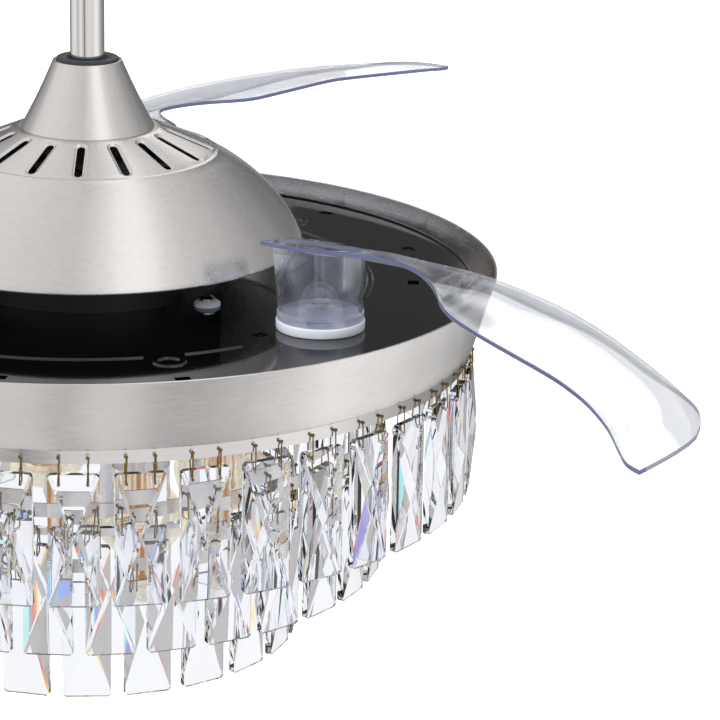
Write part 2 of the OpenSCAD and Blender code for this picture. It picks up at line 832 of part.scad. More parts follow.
// The blade's two edges from root to tip, about its pivot with +X pointing outwards, for a
// blade 380 long: x, y and height over the tray. A smooth curve runs through the points.
hollow_edge = [
    [-24, -28, 55], [2, -28.5, 55.5], [28, -17, 54.5], [48, -10, 53.5], [64, -9, 52.5],
    [80, -15, 51.5], [96, -27, 50.5], [109, -40, 49.5], [119, -51.5, 48.5], [136, -65, 47],
    [164, -81, 46], [194, -94, 44], [219, -104, 42], [238, -113, 40.5], [261, -126.5, 38],
    [286, -148, 36], [308, -173, 35], [320, -185.5, 34], [330, -189.5, 33]];
round_edge = [
    [-31, 5, 48], [-27, 16, 46], [-13, 26, 43.5], [3, 32, 42.5], [24, 39, 41.5], [47, 45, 40],
    [72, 46, 40],
    [98, 43.5, 39.5], [126, 37, 39], [153, 28, 38.5], [179, 16, 38], [204, 2, 36.5],
    [226, -13, 35.5], [248, -29, 34.5], [272, -48, 33.5], [296, -73, 33], [313, -99, 32.5],
    [323, -121, 32]];

// a Catmull-Rom curve through the points p, for t from 0 to 1
function curve(p, t) =
    let (n = len(p) - 1, s = min(t * n, n - 0.0001), k = floor(s), f = s - k,
        a = p[max(k - 1, 0)], b = p[k], c = p[k + 1], d = p[min(k + 2, n)])
    0.5 * (2 * b + (c - a) * f + (2 * a - 5 * b + 4 * c - d) * f * f
        + (3 * b - a - 3 * c + d) * f * f * f);

blade_k = blade_len / 380;
tip_bulge = 5;
// edge points keep their place round the cup and stretch with the blade beyond it
function stretched(q) = [q[0] * lerp(1, blade_k, smooth((q[0] - 40) / 60)),
    q[1] * lerp(1, blade_k, smooth((q[0] - 40) / 60)), q[2]];

// A point of the blade's upper face: t runs from root to tip, u from the hollow edge to the
// round one. The face is crowned, its trailing edge rolls down and its tip bulges outwards.
function blade_at(t, u) =
    let (a = stretched(curve(hollow_edge, t)), b = stretched(curve(round_edge, t)),
        body = smooth((t - 0.22) / 0.3),
        crown = blade_crown * body * (1 - 0.5 * smooth((t - 0.8) / 0.2)) * 4 * u * (1 - u),
        roll = blade_roll * body * smooth((1 - t) / 0.3) * pow(clamp01((u - 0.74) / 0.26), 2),
        bulge = tip_bulge * smooth((t - 0.9) / 0.1) * 4 * u * (1 - u))
    a + (b - a) * u + [bulge, 0, crown - roll];

module blade_sheet() {
    nt = 42;
    nu = 8;
    row = nu + 1;
    top = [for (k = [0:nt], j = [0:nu]) blade_at(k / nt, j / nu)];
    low = [for (q = top) q - [0, 0, blade_t]];
    n = len(top);
    function edge_quad(a, b) = [[a, b + n, b], [a, a + n, b + n]];
    polyhedron(
        points = concat(top, low),
        faces = concat(
            [for (k = [0:nt - 1], j = [0:nu - 1]) let (a = k * row + j)
                each [[a, a + row + 1, a + row], [a, a + 1, a + row + 1]]],
            [for (k = [0:nt - 1], j = [0:nu - 1]) let (a = n + k * row + j)
                each [[a, a + row, a + row + 1], [a, a + row + 1, a + 1]]],
            [for (k = [0:nt - 1]) let (a = k * row) each edge_quad(a + row, a)],
            [for (k = [0:nt - 1]) let (a = k * row + nu) each edge_quad(a, a + row)],
            [for (j = [0:nu - 1]) each edge_quad(j, j + 1)],
            [for (j = [0:nu - 1]) let (a = nt * row + j) each edge_quad(a + 1, a)]));
}

wall_z = cup_z + 3;
cup_grow = 0.065;        // widening of the cup's wall with height
cup_lean = 0.045;        // lean of the cup to its heel
mouth_near = hollow_edge[1];
mouth_far = round_edge[3];
mouth_tilt = atan2(mouth_near[2] - mouth_far[2], mouth_far[1] - mouth_near[1]);

// the cup's outer or inner cone, its mouth wider than its foot
module cup_cone(inset, z0, h) {
    r = cup_r - 1 - inset;
    multmatrix([
        [1, 0, -cup_lean, cup_lean * wall_z],
        [0, 1, 0, 0],
        [0, 0, 1, 0],
        [0, 0, 0, 1]]) translate([0, 0, z0]) cylinder(r1 = r, r2 = r + cup_grow * h, h = h);
}

module blade(i) {
    big = 4 * cup_r;
    high = big - cup_z;
    color("#DDE4EE", 0.5) at_pan() at_pivot(i) {
        difference() {
            union() {
                translate([0, 0, tray_z]) blade_sheet();
                intersection() {
                    cup_cone(0, wall_z, high);
                    // the mouth lies in the plane of the blade's root
                    translate([0, mouth_near[1], tray_z + mouth_near[2] - blade_t / 2])
                        rotate([-mouth_tilt, 0, 0]) translate([-big / 2, -big / 4, -big])
                            cube(big);
                }
                rod(cup_r, cup_z, cup_z + floor_t);
            }
            cup_cone(wall_t, cup_z + floor_t, high);
            difference() {
                rod(shaft_r, cup_z - 1, cup_z + floor_t + 1);
                translate([shaft_r - 1, -10, cup_z - 2]) cube([20, 20, floor_t + 4]);
            }
        }
    }
}

// ================================================================ pan and hanging rings

module pan_band() {
    r0 = pan_r;
    r1 = band_low_r;
    color(NICKEL) at_pan() difference() {
        rotate_extrude() polygon([
            [r1 - 9, lip_z], [r1, lip_z], [r1 + 0.6, lip_z + 0.6], [r0 - 0.4, -1], [r0, -0.4],
            [r0 - 0.5, 0], [r0 - 1.6, -0.4], [r0 - 0.4 - sheet, -1.6],
            [r1 + 0.6 - sheet, lip_z + sheet + 0.4], [r1 - sheet, lip_z + sheet],
            [r1 - 9, lip_z + sheet]]);
        round_axis(8, 22.5) translate([r1 - 5.5, 0, lip_z - 1]) cylinder(r = 2, h = 4);
    }
}

module light_plate() {
    color(NICKEL) at_pan() difference() {
        rod(band_low_r - 2, floor_z, floor_z + 1.2);
        rod(axle_r, floor_z - 1, floor_z + 2);
        round_axis(8, 22.5) translate([band_low_r - 5.5, 0, floor_z - 1]) cylinder(r = 2, h = 4);
        round_axis(lamp_n, lamp_az) translate([lamp_r, 0, floor_z - 1]) cylinder(r = 5, h = 4);
        // slots let warm air out of the lamp space
        round_axis(24) translate([band_low_r - 34, -2, floor_z - 1]) cube([18, 4, 4]);
    }
}

module axle_nuts() {
    color(STEEL) at_pan() {
        hex_nut(24, axle_r, floor_z + 1.2, 6);
        hex_nut(24, axle_r, floor_z - 6, 6);
    }
}

module pan_screws() {
    color(STEEL) at_pan() round_axis(8, 22.5)
        translate([band_low_r - 5.5, 0, floor_z + 1.2]) pan_screw(2, 5.4, 3.6, 2.4);
}

// a pierced hanging strip; flange_in is the width of its top flange
module hanging_ring(ring, flange_in) {
    r = ring[0];
    z0 = ring[1];
    n = ring[2];
    at_pan() difference() {
        union() {
            tube(r + 0.5, r - 0.5, z0, z0 + ring_h);
            if (flange_in > 0) tube(r + 0.5, r - flange_in, z0 + ring_h - 1, z0 + ring_h);
        }
        for (k = [0:n - 1], s = [-1, 1]) rotate(-90 + ring[3] + k * 360 / n)
            translate([r - 3, s * hole_x, z0 + ring_hole]) rotate([0, 90, 0])
                cylinder(r = hole_r, h = 6, $fn = 16);
        if (flange_in > 0) round_axis(8, 22.5) translate([band_low_r - 5.5, 0, z0 + ring_h - 3])
            cylinder(r = 2, h = 6);
    }
}

module crystal_ring_1() {
    color(NICKEL) hanging_ring(rings[0], 7);
}

module crystal_ring_2() {
    color(NICKEL) hanging_ring(rings[1], 0);
}

module crystal_ring_3() {
    color(NICKEL) hanging_ring(rings[2], 0);
}

module ring_hangers() {
    t = 1.4;
    foot = 9;
    color(NICKEL) at_pan() for (q = [[rings[1], -87.2], [rings[2], -60]]) {
        r = q[0][0] - 0.5;
        low = q[0][1] + 1;
        a = strap_w / r * 180 / PI;
        round_axis(4, q[1] - a / 2) rotate_extrude(angle = a) polygon([
            [r - t, low], [r, low], [r, floor_z], [r - t - foot, floor_z],
            [r - t - foot, floor_z - t], [r - t, floor_z - t]]);
    }
}

// one cut crystal, hung from its top edge at z = 0, with its thickness along X
module crystal(b) {
    a = crystal_w / 2;
    c = 1.6;
    e = crystal_edge / 2;
    m = crystal_t / 2;
    outline = [[-a, -c], [-a, c - b], [c - a, -b], [a - c, -b], [a, c - b], [a, -c], [a - c, 0],
        [c - a, 0]];
    difference() {
        polyhedron(
            points = concat(
                [for (q = outline) [e, q[0], q[1]]],
                [for (q = outline) [-e, q[0], q[1]]],
                [[m, 0, -b / 2], [-m, 0, -b / 2]]),
            faces = concat(
                [for (k = [0:7]) [(k + 1) % 8, k, 16]],
                [for (k = [0:7]) [8 + k, 8 + (k + 1) % 8, 17]],
                [for (k = [0:7]) [k, (k + 1) % 8, 8 + (k + 1) % 8, 8 + k]]));
        for (s = [-1, 1]) translate([-6, s * hole_x, -hole_in]) rotate([0, 90, 0])
            cylinder(r = hole_r, h = 12, $fn = 16);
    }
}

module tier(ring) {
    color("#E8EEF4", 0.4) at_pan() for (k = [0:ring[2] - 1])
        rotate(-90 + ring[3] + k * 360 / ring[2]) translate([ring[0], 0, ring[1] - drop_gap])
            crystal(ring[4]);
}

// one wire pin: a loop through the ring's hole and the crystal's hole, with a ball head
module crystal_pin(ring) {
    thick = crystal_edge + (crystal_t - crystal_edge) * hole_in / (ring[4] / 2);
    half = thick / 2 + 0.35;
    seat = sqrt(hole_r * hole_r - wire * wire / 4) - 0.02;
    z0 = -drop_gap - hole_in + seat - wire;
    z1 = ring_hole - seat + wire;
    difference() {
        translate([-half - wire, -wire / 2, z0]) cube([2 * half + 2 * wire, wire, z1 - z0]);
        translate([-half, -wire, z0 + wire]) cube([2 * half, 2 * wire, z1 - z0 - 2 * wire]);
    }
    translate([half + wire + 0.6, 0, z1 - wire / 2]) sphere(r = 1.1, $fn = 16);
}

module crystal_pins() {
    color("#7A6134") at_pan() for (ring = rings, k = [0:ring[2] - 1], s = [-1, 1])
        rotate(-90 + ring[3] + k * 360 / ring[2])
            translate([ring[0], s * hole_x, ring[1]]) crystal_pin(ring);
}

// ================================================================ lamps

module at_lamps() {
    at_pan() round_axis(lamp_n, lamp_az) translate([lamp_r, 0, 0]) children();
}

module lamp_cups() {
    color(NICKEL) at_lamps() difference() {
        union() {
            rod(18.5, lamp_low, floor_z);
            rod(5, floor_z - 1, floor_z + 6);
        }
        rod(17.5, lamp_low - 1, floor_z - 1);
        rod(3.5, floor_z - 3, floor_z + 8);
    }
}

module lamp_sockets() {
    color("#ECE7DC") at_lamps() difference() {
        rod(17.5, lamp_low + 6, floor_z - 1);
        rod(13.4, lamp_low + 5, lamp_low + 38);
        rod(3.5, lamp_low + 30, floor_z);
    }
}

module bulb_caps() {
    color("#C9B27A") at_lamps() {
        rod(13, lamp_low + 8, lamp_low + 32);
        translate([0, 0, lamp_low + 32 - EPS]) cylinder(r1 = 11, r2 = 5, h = 4);
    }
}

// half outline of a bulb's glass, its neck at the top
module bulb_profile(inset) {
    r = bulb_d / 2 - inset;
    neck = 13 - inset;
    low = lamp_low + 8 - bulb_len;
    centre = low + bulb_d / 2;
    top = lamp_low + 8;
    polygon(concat(
        [[0, low + inset]],
        [for (a = [-80:10:30]) [r * cos(a), centre + r * sin(a)]],
        [[lerp(neck, r * cos(30), 0.35), lerp(top, centre + r / 2, 0.6)],
         [neck + 0.8, lerp(top, centre + r / 2, 0.3)], [neck, top], [0, top]]));
}

module bulb_glass() {
    color("#F4F1E6", 0.4) at_lamps() difference() {
        rotate_extrude($fn = 48) bulb_profile(0);
        difference() {
            rotate_extrude($fn = 48) bulb_profile(0.9);
            rod(20, lamp_low + 6, lamp_low + 12);
        }
    }
}

module bulb_filaments() {
    fil_n = 8;
    fil_r = 10;
    fil_len = 48;
    stem_low = lamp_low - 6;
    color("#E8A33C") at_lamps() {
        translate([0, 0, stem_low]) cylinder(r1 = 2.4, r2 = 6, h = lamp_low + 6 - stem_low);
        rod(1.6, stem_low - fil_len - 1, stem_low + EPS);
        for (z = [stem_low - 2, stem_low - fil_len - 1]) rod(fil_r + 1, z, z + 1);
        round_axis(fil_n) translate([fil_r, 0, stem_low - fil_len])
            cylinder(r = 0.8, h = fil_len - 2 + EPS, $fn = 16);
    }
}

// ================================================================ the nodes

ceiling_bracket();
ball_seat();
canopy();
canopy_screws();
remote_receiver();
hanger_ball();
ball_pin();
downrod();
rod_coupling();
coupling_pins();
rubber_ring();
coupling_cover();
dome();
dome_screws();
motor_axle();
stator_core();
stator_windings();
bearing_inner_races();
bearing_outer_races();
bearing_balls();
upper_motor_shell();
lower_motor_shell();
magnet_ring();
motor_bolts();
hub_disc();
rotor_plate();
tray();
tray_screws();
tray_washers();
pivot_feet();
pivot_bushes();
stop_posts();
return_springs();
sun_gear();
pinion(1);  // pinion_1
pinion(2);  // pinion_2
pinion(3);  // pinion_3
pivot_shaft(1);  // pivot_shaft_1
pivot_shaft(2);  // pivot_shaft_2
pivot_shaft(3);  // pivot_shaft_3
blade(1);  // blade_1
blade(2);  // blade_2
blade(3);  // blade_3
pan_band();
light_plate();
axle_nuts();
pan_screws();
crystal_ring_1();
crystal_ring_2();
crystal_ring_3();
ring_hangers();
tier(rings[0]);  // crystals_tier_1
tier(rings[1]);  // crystals_tier_2
tier(rings[2]);  // crystals_tier_3
crystal_pins();
lamp_cups();
lamp_sockets();
bulb_caps();
bulb_glass();
bulb_filaments();
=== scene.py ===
# %% [markdown]
# # A retractable blade ceiling fan, dressed for its portrait
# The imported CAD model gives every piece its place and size, in metres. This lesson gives
# each piece its material, and rebuilds the pieces whose looks need a finer mesh: the dome
# with its stamped slots, the clear blades, the cut crystals and their pins.

# %% Load the frame
import json
import math

import bmesh
import bpy
from mathutils import Matrix, Vector


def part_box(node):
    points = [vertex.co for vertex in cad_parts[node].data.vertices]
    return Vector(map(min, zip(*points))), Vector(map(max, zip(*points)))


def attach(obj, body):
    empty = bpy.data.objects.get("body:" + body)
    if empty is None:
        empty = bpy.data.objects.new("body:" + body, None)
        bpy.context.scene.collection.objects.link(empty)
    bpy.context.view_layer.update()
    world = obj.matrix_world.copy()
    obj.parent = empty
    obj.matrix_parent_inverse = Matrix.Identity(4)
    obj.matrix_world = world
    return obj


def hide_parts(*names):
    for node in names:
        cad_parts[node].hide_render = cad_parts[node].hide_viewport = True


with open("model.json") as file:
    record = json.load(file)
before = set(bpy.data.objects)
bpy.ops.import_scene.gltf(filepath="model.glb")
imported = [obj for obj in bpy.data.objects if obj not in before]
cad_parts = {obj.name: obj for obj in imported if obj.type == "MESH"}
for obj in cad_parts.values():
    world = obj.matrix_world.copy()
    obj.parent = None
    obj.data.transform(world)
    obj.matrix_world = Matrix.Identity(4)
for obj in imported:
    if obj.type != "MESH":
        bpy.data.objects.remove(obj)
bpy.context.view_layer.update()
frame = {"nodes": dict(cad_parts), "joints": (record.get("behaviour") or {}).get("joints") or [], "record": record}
nodes = frame["nodes"]
bodies = frame["record"]["behaviour"]["bodies"]
body_of_node = {node: body for body, names in bodies.items() for node in names}
RIM_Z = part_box("pan_band")[1].z      # the fan's heights are counted from the pan's rim
MM = 0.001
print(len(nodes), "CAD nodes, the pan's rim at", round(RIM_Z, 4))

# %% [markdown]
# ## Two small tools
# A colour is written as the hex number a paint chart gives, and turned into linear light here.
# `add` makes one shader node: an input is given a value, or the node or socket that feeds it.
# With these two, a material reads like a list of what was done to the surface.

# %% Colour and node tools
NOISE = {"From Min": 0.3, "From Max": 0.7}       # noise hardly leaves this range


def srgb(text):
    """Linear RGBA of a hex colour, by the sRGB curve."""
    parts = [int(text[i:i + 2], 16) / 255 for i in (1, 3, 5)]
    return tuple(v / 12.92 if v <= 0.04045 else ((v + 0.055) / 1.055) ** 2.4
                 for v in parts) + (1.0,)


def add(tree, kind, inputs=None, **settings):
    """One node, with its settings, and for each input a value or a link."""
    node = tree.nodes.new(kind)
    for key, value in settings.items():
        setattr(node, key, value)
    for key, value in (inputs or {}).items():
        if isinstance(value, bpy.types.Node):
            value = value.outputs[0]
        if isinstance(value, bpy.types.NodeSocket):
            tree.links.new(value, node.inputs[key])
        else:
            node.inputs[key].default_value = value
    return node


def new_material(name):
    """An empty material: its tree, and a place on the piece that the pattern reads."""
    mat = bpy.data.materials.new(name)
    mat.use_nodes = True
    tree = mat.node_tree
    tree.nodes.clear()
    return mat, tree, add(tree, "ShaderNodeTexCoord").outputs["Object"]


print("tools ready")

# %% [markdown]
# ## Brushed nickel
# The canopy, cover, dome and pan are steel, spun on a lathe, brushed while they turned and
# then nickel plated. The brush leaves hair lines that run round the axis. An image would show
# a seam, so the lines are noise: read slowly along a point's direction from the axis, and
# quickly along its radius and height. A tangent round Z stretches each highlight across the
# lines, which is what makes brushed metal look silky.

# %% Brushed nickel
WAY_ROUND = 5.0                      # how far the noise moves along a line, on its way round
WIDE_LINES = 7                       # every so many lines, a wider band of tone


def round_lines(tree, spot, per_mm):
    """Noise in lines round the Z axis, about so many lines to the millimetre."""
    flat = add(tree, "ShaderNodeVectorMath", {0: spot, 1: (1, 1, 0)}, operation="MULTIPLY")
    radius = add(tree, "ShaderNodeVectorMath", {0: flat}, operation="LENGTH").outputs["Value"]
    way = add(tree, "ShaderNodeVectorMath", {0: flat}, operation="NORMALIZE")
    slow = add(tree, "ShaderNodeVectorMath", {0: way, "Scale": WAY_ROUND}, operation="SCALE")
    height = add(tree, "ShaderNodeVectorMath", {0: spot, 1: (0, 0, per_mm / MM)},
                 operation="MULTIPLY")
    place = add(tree, "ShaderNodeVectorMath", {0: slow, 1: height}, operation="ADD")
    reach = add(tree, "ShaderNodeMath", {0: radius, 1: per_mm / MM}, operation="MULTIPLY")
    return add(tree, "ShaderNodeTexNoise", {"Vector": place, "W": reach, "Detail": 3.0},
               noise_dimensions="4D")


def brushed_nickel(name, light, dark, rough, per_mm):
    """Plated and brushed: two colours and a roughness that follow the hair lines."""
    mat, tree, spot = new_material(name)
    fine = round_lines(tree, spot, per_mm)
    wide = round_lines(tree, spot, per_mm / WIDE_LINES)
    both = add(tree, "ShaderNodeMath", {0: fine, 1: wide}, operation="ADD")
    half = add(tree, "ShaderNodeMath", {0: both, 1: 0.5}, operation="MULTIPLY")
    shade = add(tree, "ShaderNodeValToRGB", {"Fac": half})
    for stop, place, colour in zip(shade.color_ramp.elements, NOISE.values(), (dark, light)):
        stop.position, stop.color = place, srgb(colour)
    gloss = add(tree, "ShaderNodeMapRange", {"Value": half, **NOISE, "To Min": rough - 0.05,
                                             "To Max": rough + 0.05})
    scratch = add(tree, "ShaderNodeBump", {"Height": fine, "Strength": 0.05,
                                           "Distance": 0.02 * MM})
    round_z = add(tree, "ShaderNodeTangent", direction_type="RADIAL", axis="Z")
    shader = add(tree, "ShaderNodeBsdfPrincipled", {
        "Base Color": shade, "Metallic": 1.0, "Roughness": gloss, "Anisotropic": 0.75,
        "Anisotropic Rotation": 0.25, "Normal": scratch, "Tangent": round_z})
    add(tree, "ShaderNodeOutputMaterial", {"Surface": shader})
    return mat


# Hair lines are 0.05 mm apart on the real metal. They are drawn 1.6 mm apart, or 0.62 to the
# millimetre, because finer ones would fall between the picture's dots and look like sand.
# Nickel plate over brushed steel: a warm silver whose lights smear across the brushing.
NICKEL = brushed_nickel("nickel_plate_brushed_round", "#D7D4D2", "#CAC7C5", 0.25, 0.62)
# Rolled strip, as in the crystal rings: the same plate over straighter, coarser lines.
STRIP = brushed_nickel("nickel_strip_rolled", "#DAD7D5", "#D0CDCB", 0.24, 1.0)
print("brushed:", NICKEL.name, STRIP.name)

# %% [markdown]
# ## Plain metals
# Screws, balls, wire and stampings are too small to show brushing. What the eye gets from them
# is how sharp their highlights are, so each one is a colour, a roughness, and a fine noise
# that lets both of them wander a little. The noise's cell is given in millimetres.

# %% Plain metals
def plain_metal(name, colour, rough, wander=0.08, cell_mm=1.1):
    """A metal whose roughness wanders by so much, over cells of that size."""
    mat, tree, spot = new_material(name)
    noise = add(tree, "ShaderNodeTexNoise", {"Vector": spot, "Scale": 1 / (cell_mm * MM),
                                             "Detail": 3.0})
    gloss = add(tree, "ShaderNodeMapRange", {"Value": noise, **NOISE, "To Min": rough - wander,
                                             "To Max": rough + wander})
    dent = add(tree, "ShaderNodeBump", {"Height": noise, "Strength": 0.15,
                                        "Distance": 0.03 * MM})
    shader = add(tree, "ShaderNodeBsdfPrincipled", {
        "Base Color": srgb(colour), "Metallic": 1.0, "Roughness": gloss, "Normal": dent})
    add(tree, "ShaderNodeOutputMaterial", {"Surface": shader})
    return mat


# Drawn tube, polished along its length and plated: long mirror-like streaks from end to end.
ROD_NICKEL = plain_metal("nickel_plate_polished_tube", "#D8D5D3", 0.09, 0.02, 2.0)
# Zinc-plated pressed steel: cool grey with a soft shine.
STEEL = plain_metal("steel_zinc_plated", "#B9BBBE", 0.30)
# Ground and polished bearing steel, and bright nuts: small hard highlights.
BEARING = plain_metal("steel_ground_polished", "#CDCFD2", 0.14, 0.04)
# Stamped electrical steel: dull and darker.
LAMINATION = plain_metal("steel_electrical_stamped", "#83858A", 0.45)
# Drawn spring wire: bright, with faint draw marks.
SPRING = plain_metal("steel_spring_drawn", "#B4B6BA", 0.28)
# Enamelled winding wire: copper under lacquer, orange and lively.
COPPER = plain_metal("copper_wire_enamelled", "#C77A42", 0.30, 0.1, 0.4)
# Sintered bronze: matt gold with pores of about 0.25 mm.
BRONZE = plain_metal("bronze_sintered", "#A87B45", 0.45, 0.1, 0.25)
# Spun brass lamp cap: pale gold, softly bright.
CAP_BRASS = plain_metal("brass_cap_spun", "#C9AC62", 0.30)
# Antiqued brass wire: brown with gold where it was rubbed, cells of 0.6 mm.
OLD_BRASS = plain_metal("brass_wire_antique", "#7C6436", 0.34, 0.12, 0.6)
# Turned aluminium: pale, and between satin and bright.
ALLOY = plain_metal("aluminium_turned", "#C4C5C8", 0.36)
print("plain metals, from", ROD_NICKEL.name, "to", ALLOY.name)

# %% [markdown]
# ## Enamel, rubber, plastics and fired clay
# A sprayed or moulded skin has two patterns: a slow one that bends its mirror image, as
# orange peel does, and a fine one that changes its roughness. White nylon also lets light in
# under the skin, which Subsurface gives. One helper serves them all, with cells in mm.

# %% Coatings and plastics
FINER = 14                           # grains of the fine pattern in one cell of the slow one
UNDER_SKIN = 0.35                    # share of the light that goes in, where any does


def skinned(name, colour, rough, wander, peel_mm, cell_mm=3.8, deep_mm=0.0):
    """A skin with ripples of that height and size; light may go so deep under it."""
    mat, tree, spot = new_material(name)
    slow = add(tree, "ShaderNodeTexNoise", {"Vector": spot, "Scale": 1 / (cell_mm * MM)})
    fine = add(tree, "ShaderNodeTexNoise", {"Vector": spot, "Scale": FINER / (cell_mm * MM)})
    gloss = add(tree, "ShaderNodeMapRange", {
        "Value": fine, **NOISE, "To Min": max(rough - wander, 0.02), "To Max": rough + wander})
    peel = add(tree, "ShaderNodeBump", {"Height": slow, "Strength": 0.3,
                                        "Distance": peel_mm * MM})
    shader = add(tree, "ShaderNodeBsdfPrincipled", {
        "Base Color": srgb(colour), "Roughness": gloss, "Normal": peel,
        "Subsurface Weight": UNDER_SKIN if deep_mm else 0.0,
        "Subsurface Scale": deep_mm * MM})
    add(tree, "ShaderNodeOutputMaterial", {"Surface": shader})
    return mat


# Gloss black enamel, sprayed on sheet steel: a dark mirror with a slow ripple 17 mm across.
ENAMEL = skinned("enamel_gloss_black_sprayed", "#070708", 0.06, 0.02, 0.015, 17.0)
# Satin black enamel on a casting: a broad dim sheen over grain.
SATIN_BLACK = skinned("enamel_satin_black_cast", "#0B0B0C", 0.38, 0.1, 0.06)
# Grey enamel on a casting: the same skin, lighter.
CAST_GREY = skinned("enamel_grey_cast", "#3F4043", 0.42, 0.1, 0.08)
# Moulded rubber: slate black, nearly matt.
RUBBER = skinned("rubber_black_moulded", "#232830", 0.55, 0.1, 0.05)
# Moulded black nylon: smooth, with a waxy light.
BALL_NYLON = skinned("nylon_black_moulded", "#1C1C1D", 0.4, 0.08, 0.03)
# Moulded white nylon: milky, because light goes some 4 mm into it.
WHITE_NYLON = skinned("nylon_white_moulded", "#E2E6F0", 0.3, 0.06, 0.03, deep_mm=4)
# Nylon without dye, for gears: ivory.
NATURAL_NYLON = skinned("nylon_natural_moulded", "#DEDACB", 0.42, 0.08, 0.03, deep_mm=3)
# Moulded ABS case: white with a fine grain.
RECEIVER = skinned("abs_white_moulded", "#E6E6E2", 0.45, 0.08, 0.04)
# Glazed porcelain: cream, with a wet shine.
PORCELAIN = skinned("porcelain_glazed", "#E9E3D6", 0.2, 0.06, 0.04)
# Sintered ferrite: charcoal and matt.
FERRITE = skinned("ferrite_sintered", "#3A3B3E", 0.6, 0.1, 0.08)
print("skins, from", ENAMEL.name, "to", FERRITE.name)

# %% [markdown]
# ## Clear materials
# Clear plastic and glass are seen by what they bend and mirror. A Principled shader with full
# transmission does that. Part of the light is let straight through as well, since a thin
# sheet hardly shifts what lies behind it. A moulded face is never quite flat: a wave some
# 70 mm long and a few hundredths of a millimetre deep makes its mirror image swim.

# %% Clear plastic, glass and crystal
PLASTIC_IOR = 1.58                   # of polycarbonate


def clear(name, colour, ior, straight=0.0, wave_mm=0.0, cell_mm=70.0):
    """Clear stuff that lets a share of the light straight through, with waves in its face."""
    mat, tree, spot = new_material(name)
    body = {"Base Color": srgb(colour), "Transmission Weight": 1.0, "IOR": ior,
            "Roughness": 0.0}
    if wave_mm:
        swell = add(tree, "ShaderNodeTexNoise", {"Vector": spot, "Scale": 1 / (cell_mm * MM),
                                                 "Detail": 1.0})
        body["Normal"] = add(tree, "ShaderNodeBump", {"Height": swell, "Strength": 0.5,
                                                      "Distance": wave_mm * MM})
    shader = add(tree, "ShaderNodeBsdfPrincipled", body)
    if straight:
        through = add(tree, "ShaderNodeBsdfTransparent", {"Color": srgb(colour)})
        shader = add(tree, "ShaderNodeMixShader", {0: straight, 1: shader, 2: through})
    add(tree, "ShaderNodeOutputMaterial", {"Surface": shader})
    return mat


# Polycarbonate sheet, injection moulded: nearly colourless, swimming lights.
BLADE = clear("polycarbonate_clear_moulded", "#F9FAFD", PLASTIC_IOR, 0.5, 0.05)
# The same plastic where it is thick, in the cup: deeper bending and a cold tint.
CUP = clear("polycarbonate_clear_thick", "#F6F8FD", PLASTIC_IOR, 0.5)
# Cut and polished lead-free crystal: crisp facets, and no tint to speak of.
CRYSTAL = clear("crystal_k9_cut", "#FAFBFE", 1.517)
# Blown soda glass: a bubble that shows only at its rim, with waves 33 mm long.
LAMP_GLASS = clear("soda_glass_blown", "#FDFBF5", 1.5, 0.65, 0.05, 33.0)
print("clear materials:", BLADE.name, CUP.name, CRYSTAL.name, LAMP_GLASS.name)

# %% [markdown]
# ## Glowing edges and filaments
# Light that enters a clear sheet runs along inside it and comes out at its cut edge, where it
# has passed through so much plastic that it looks blue-violet. A little emission, a painted
# glow, stands for that light, because a renderer would need very long paths to find it. The
# lamp's filaments are coated with an amber phosphor, and a faint painted glow makes them look
# lit even when the lamp is off.

# %% Edges and filaments
def lit_from_inside(name, colour, glow_colour, glow, clearness, rough=0.18, cell_mm=3.3):
    """A surface that glows a little, and is partly clear."""
    mat, tree, spot = new_material(name)
    noise = add(tree, "ShaderNodeTexNoise", {"Vector": spot, "Scale": 1 / (cell_mm * MM)})
    uneven = add(tree, "ShaderNodeBump", {"Height": noise, "Strength": 0.3,
                                          "Distance": 0.03 * MM})
    shader = add(tree, "ShaderNodeBsdfPrincipled", {
        "Base Color": srgb(colour), "Roughness": rough, "IOR": PLASTIC_IOR, "Normal": uneven,
        "Transmission Weight": clearness, "Emission Color": srgb(glow_colour),
        "Emission Strength": glow})
    add(tree, "ShaderNodeOutputMaterial", {"Surface": shader})
    return mat


# Polished edge of the polycarbonate, seen along the sheet: slate violet, with a painted glow for the light piped
# along the sheet.
BLADE_EDGE_PAINTED_GLOW = lit_from_inside("polycarbonate_edge_painted_glow", "#4D5478", "#5F6790", 0.16, 0.2)
# The same edge where the sheet is seen across: grey and thin, with a painted glow as well.
EDGE_GREY_PAINTED_GLOW = lit_from_inside("polycarbonate_edge_thin_painted_glow", "#85879A", "#9A9CAC", 0.2, 0.5)
# Phosphor coating on the filament, dry and matt: amber, with a faint painted glow.
FILAMENT_PAINTED_GLOW = lit_from_inside("phosphor_amber_painted_glow", "#DDA050", "#FFB04A", 0.15, 0.0, 0.5, 0.4)
print("lit from inside:", BLADE_EDGE_PAINTED_GLOW.name, EDGE_GREY_PAINTED_GLOW.name, FILAMENT_PAINTED_GLOW.name)

# %% [markdown]
# ## Dressing the CAD pieces
# Every CAD node gets the material of its real piece. The table is the fan's parts list, from
# the ceiling down, so a wrong finish is easy to find and to mend.

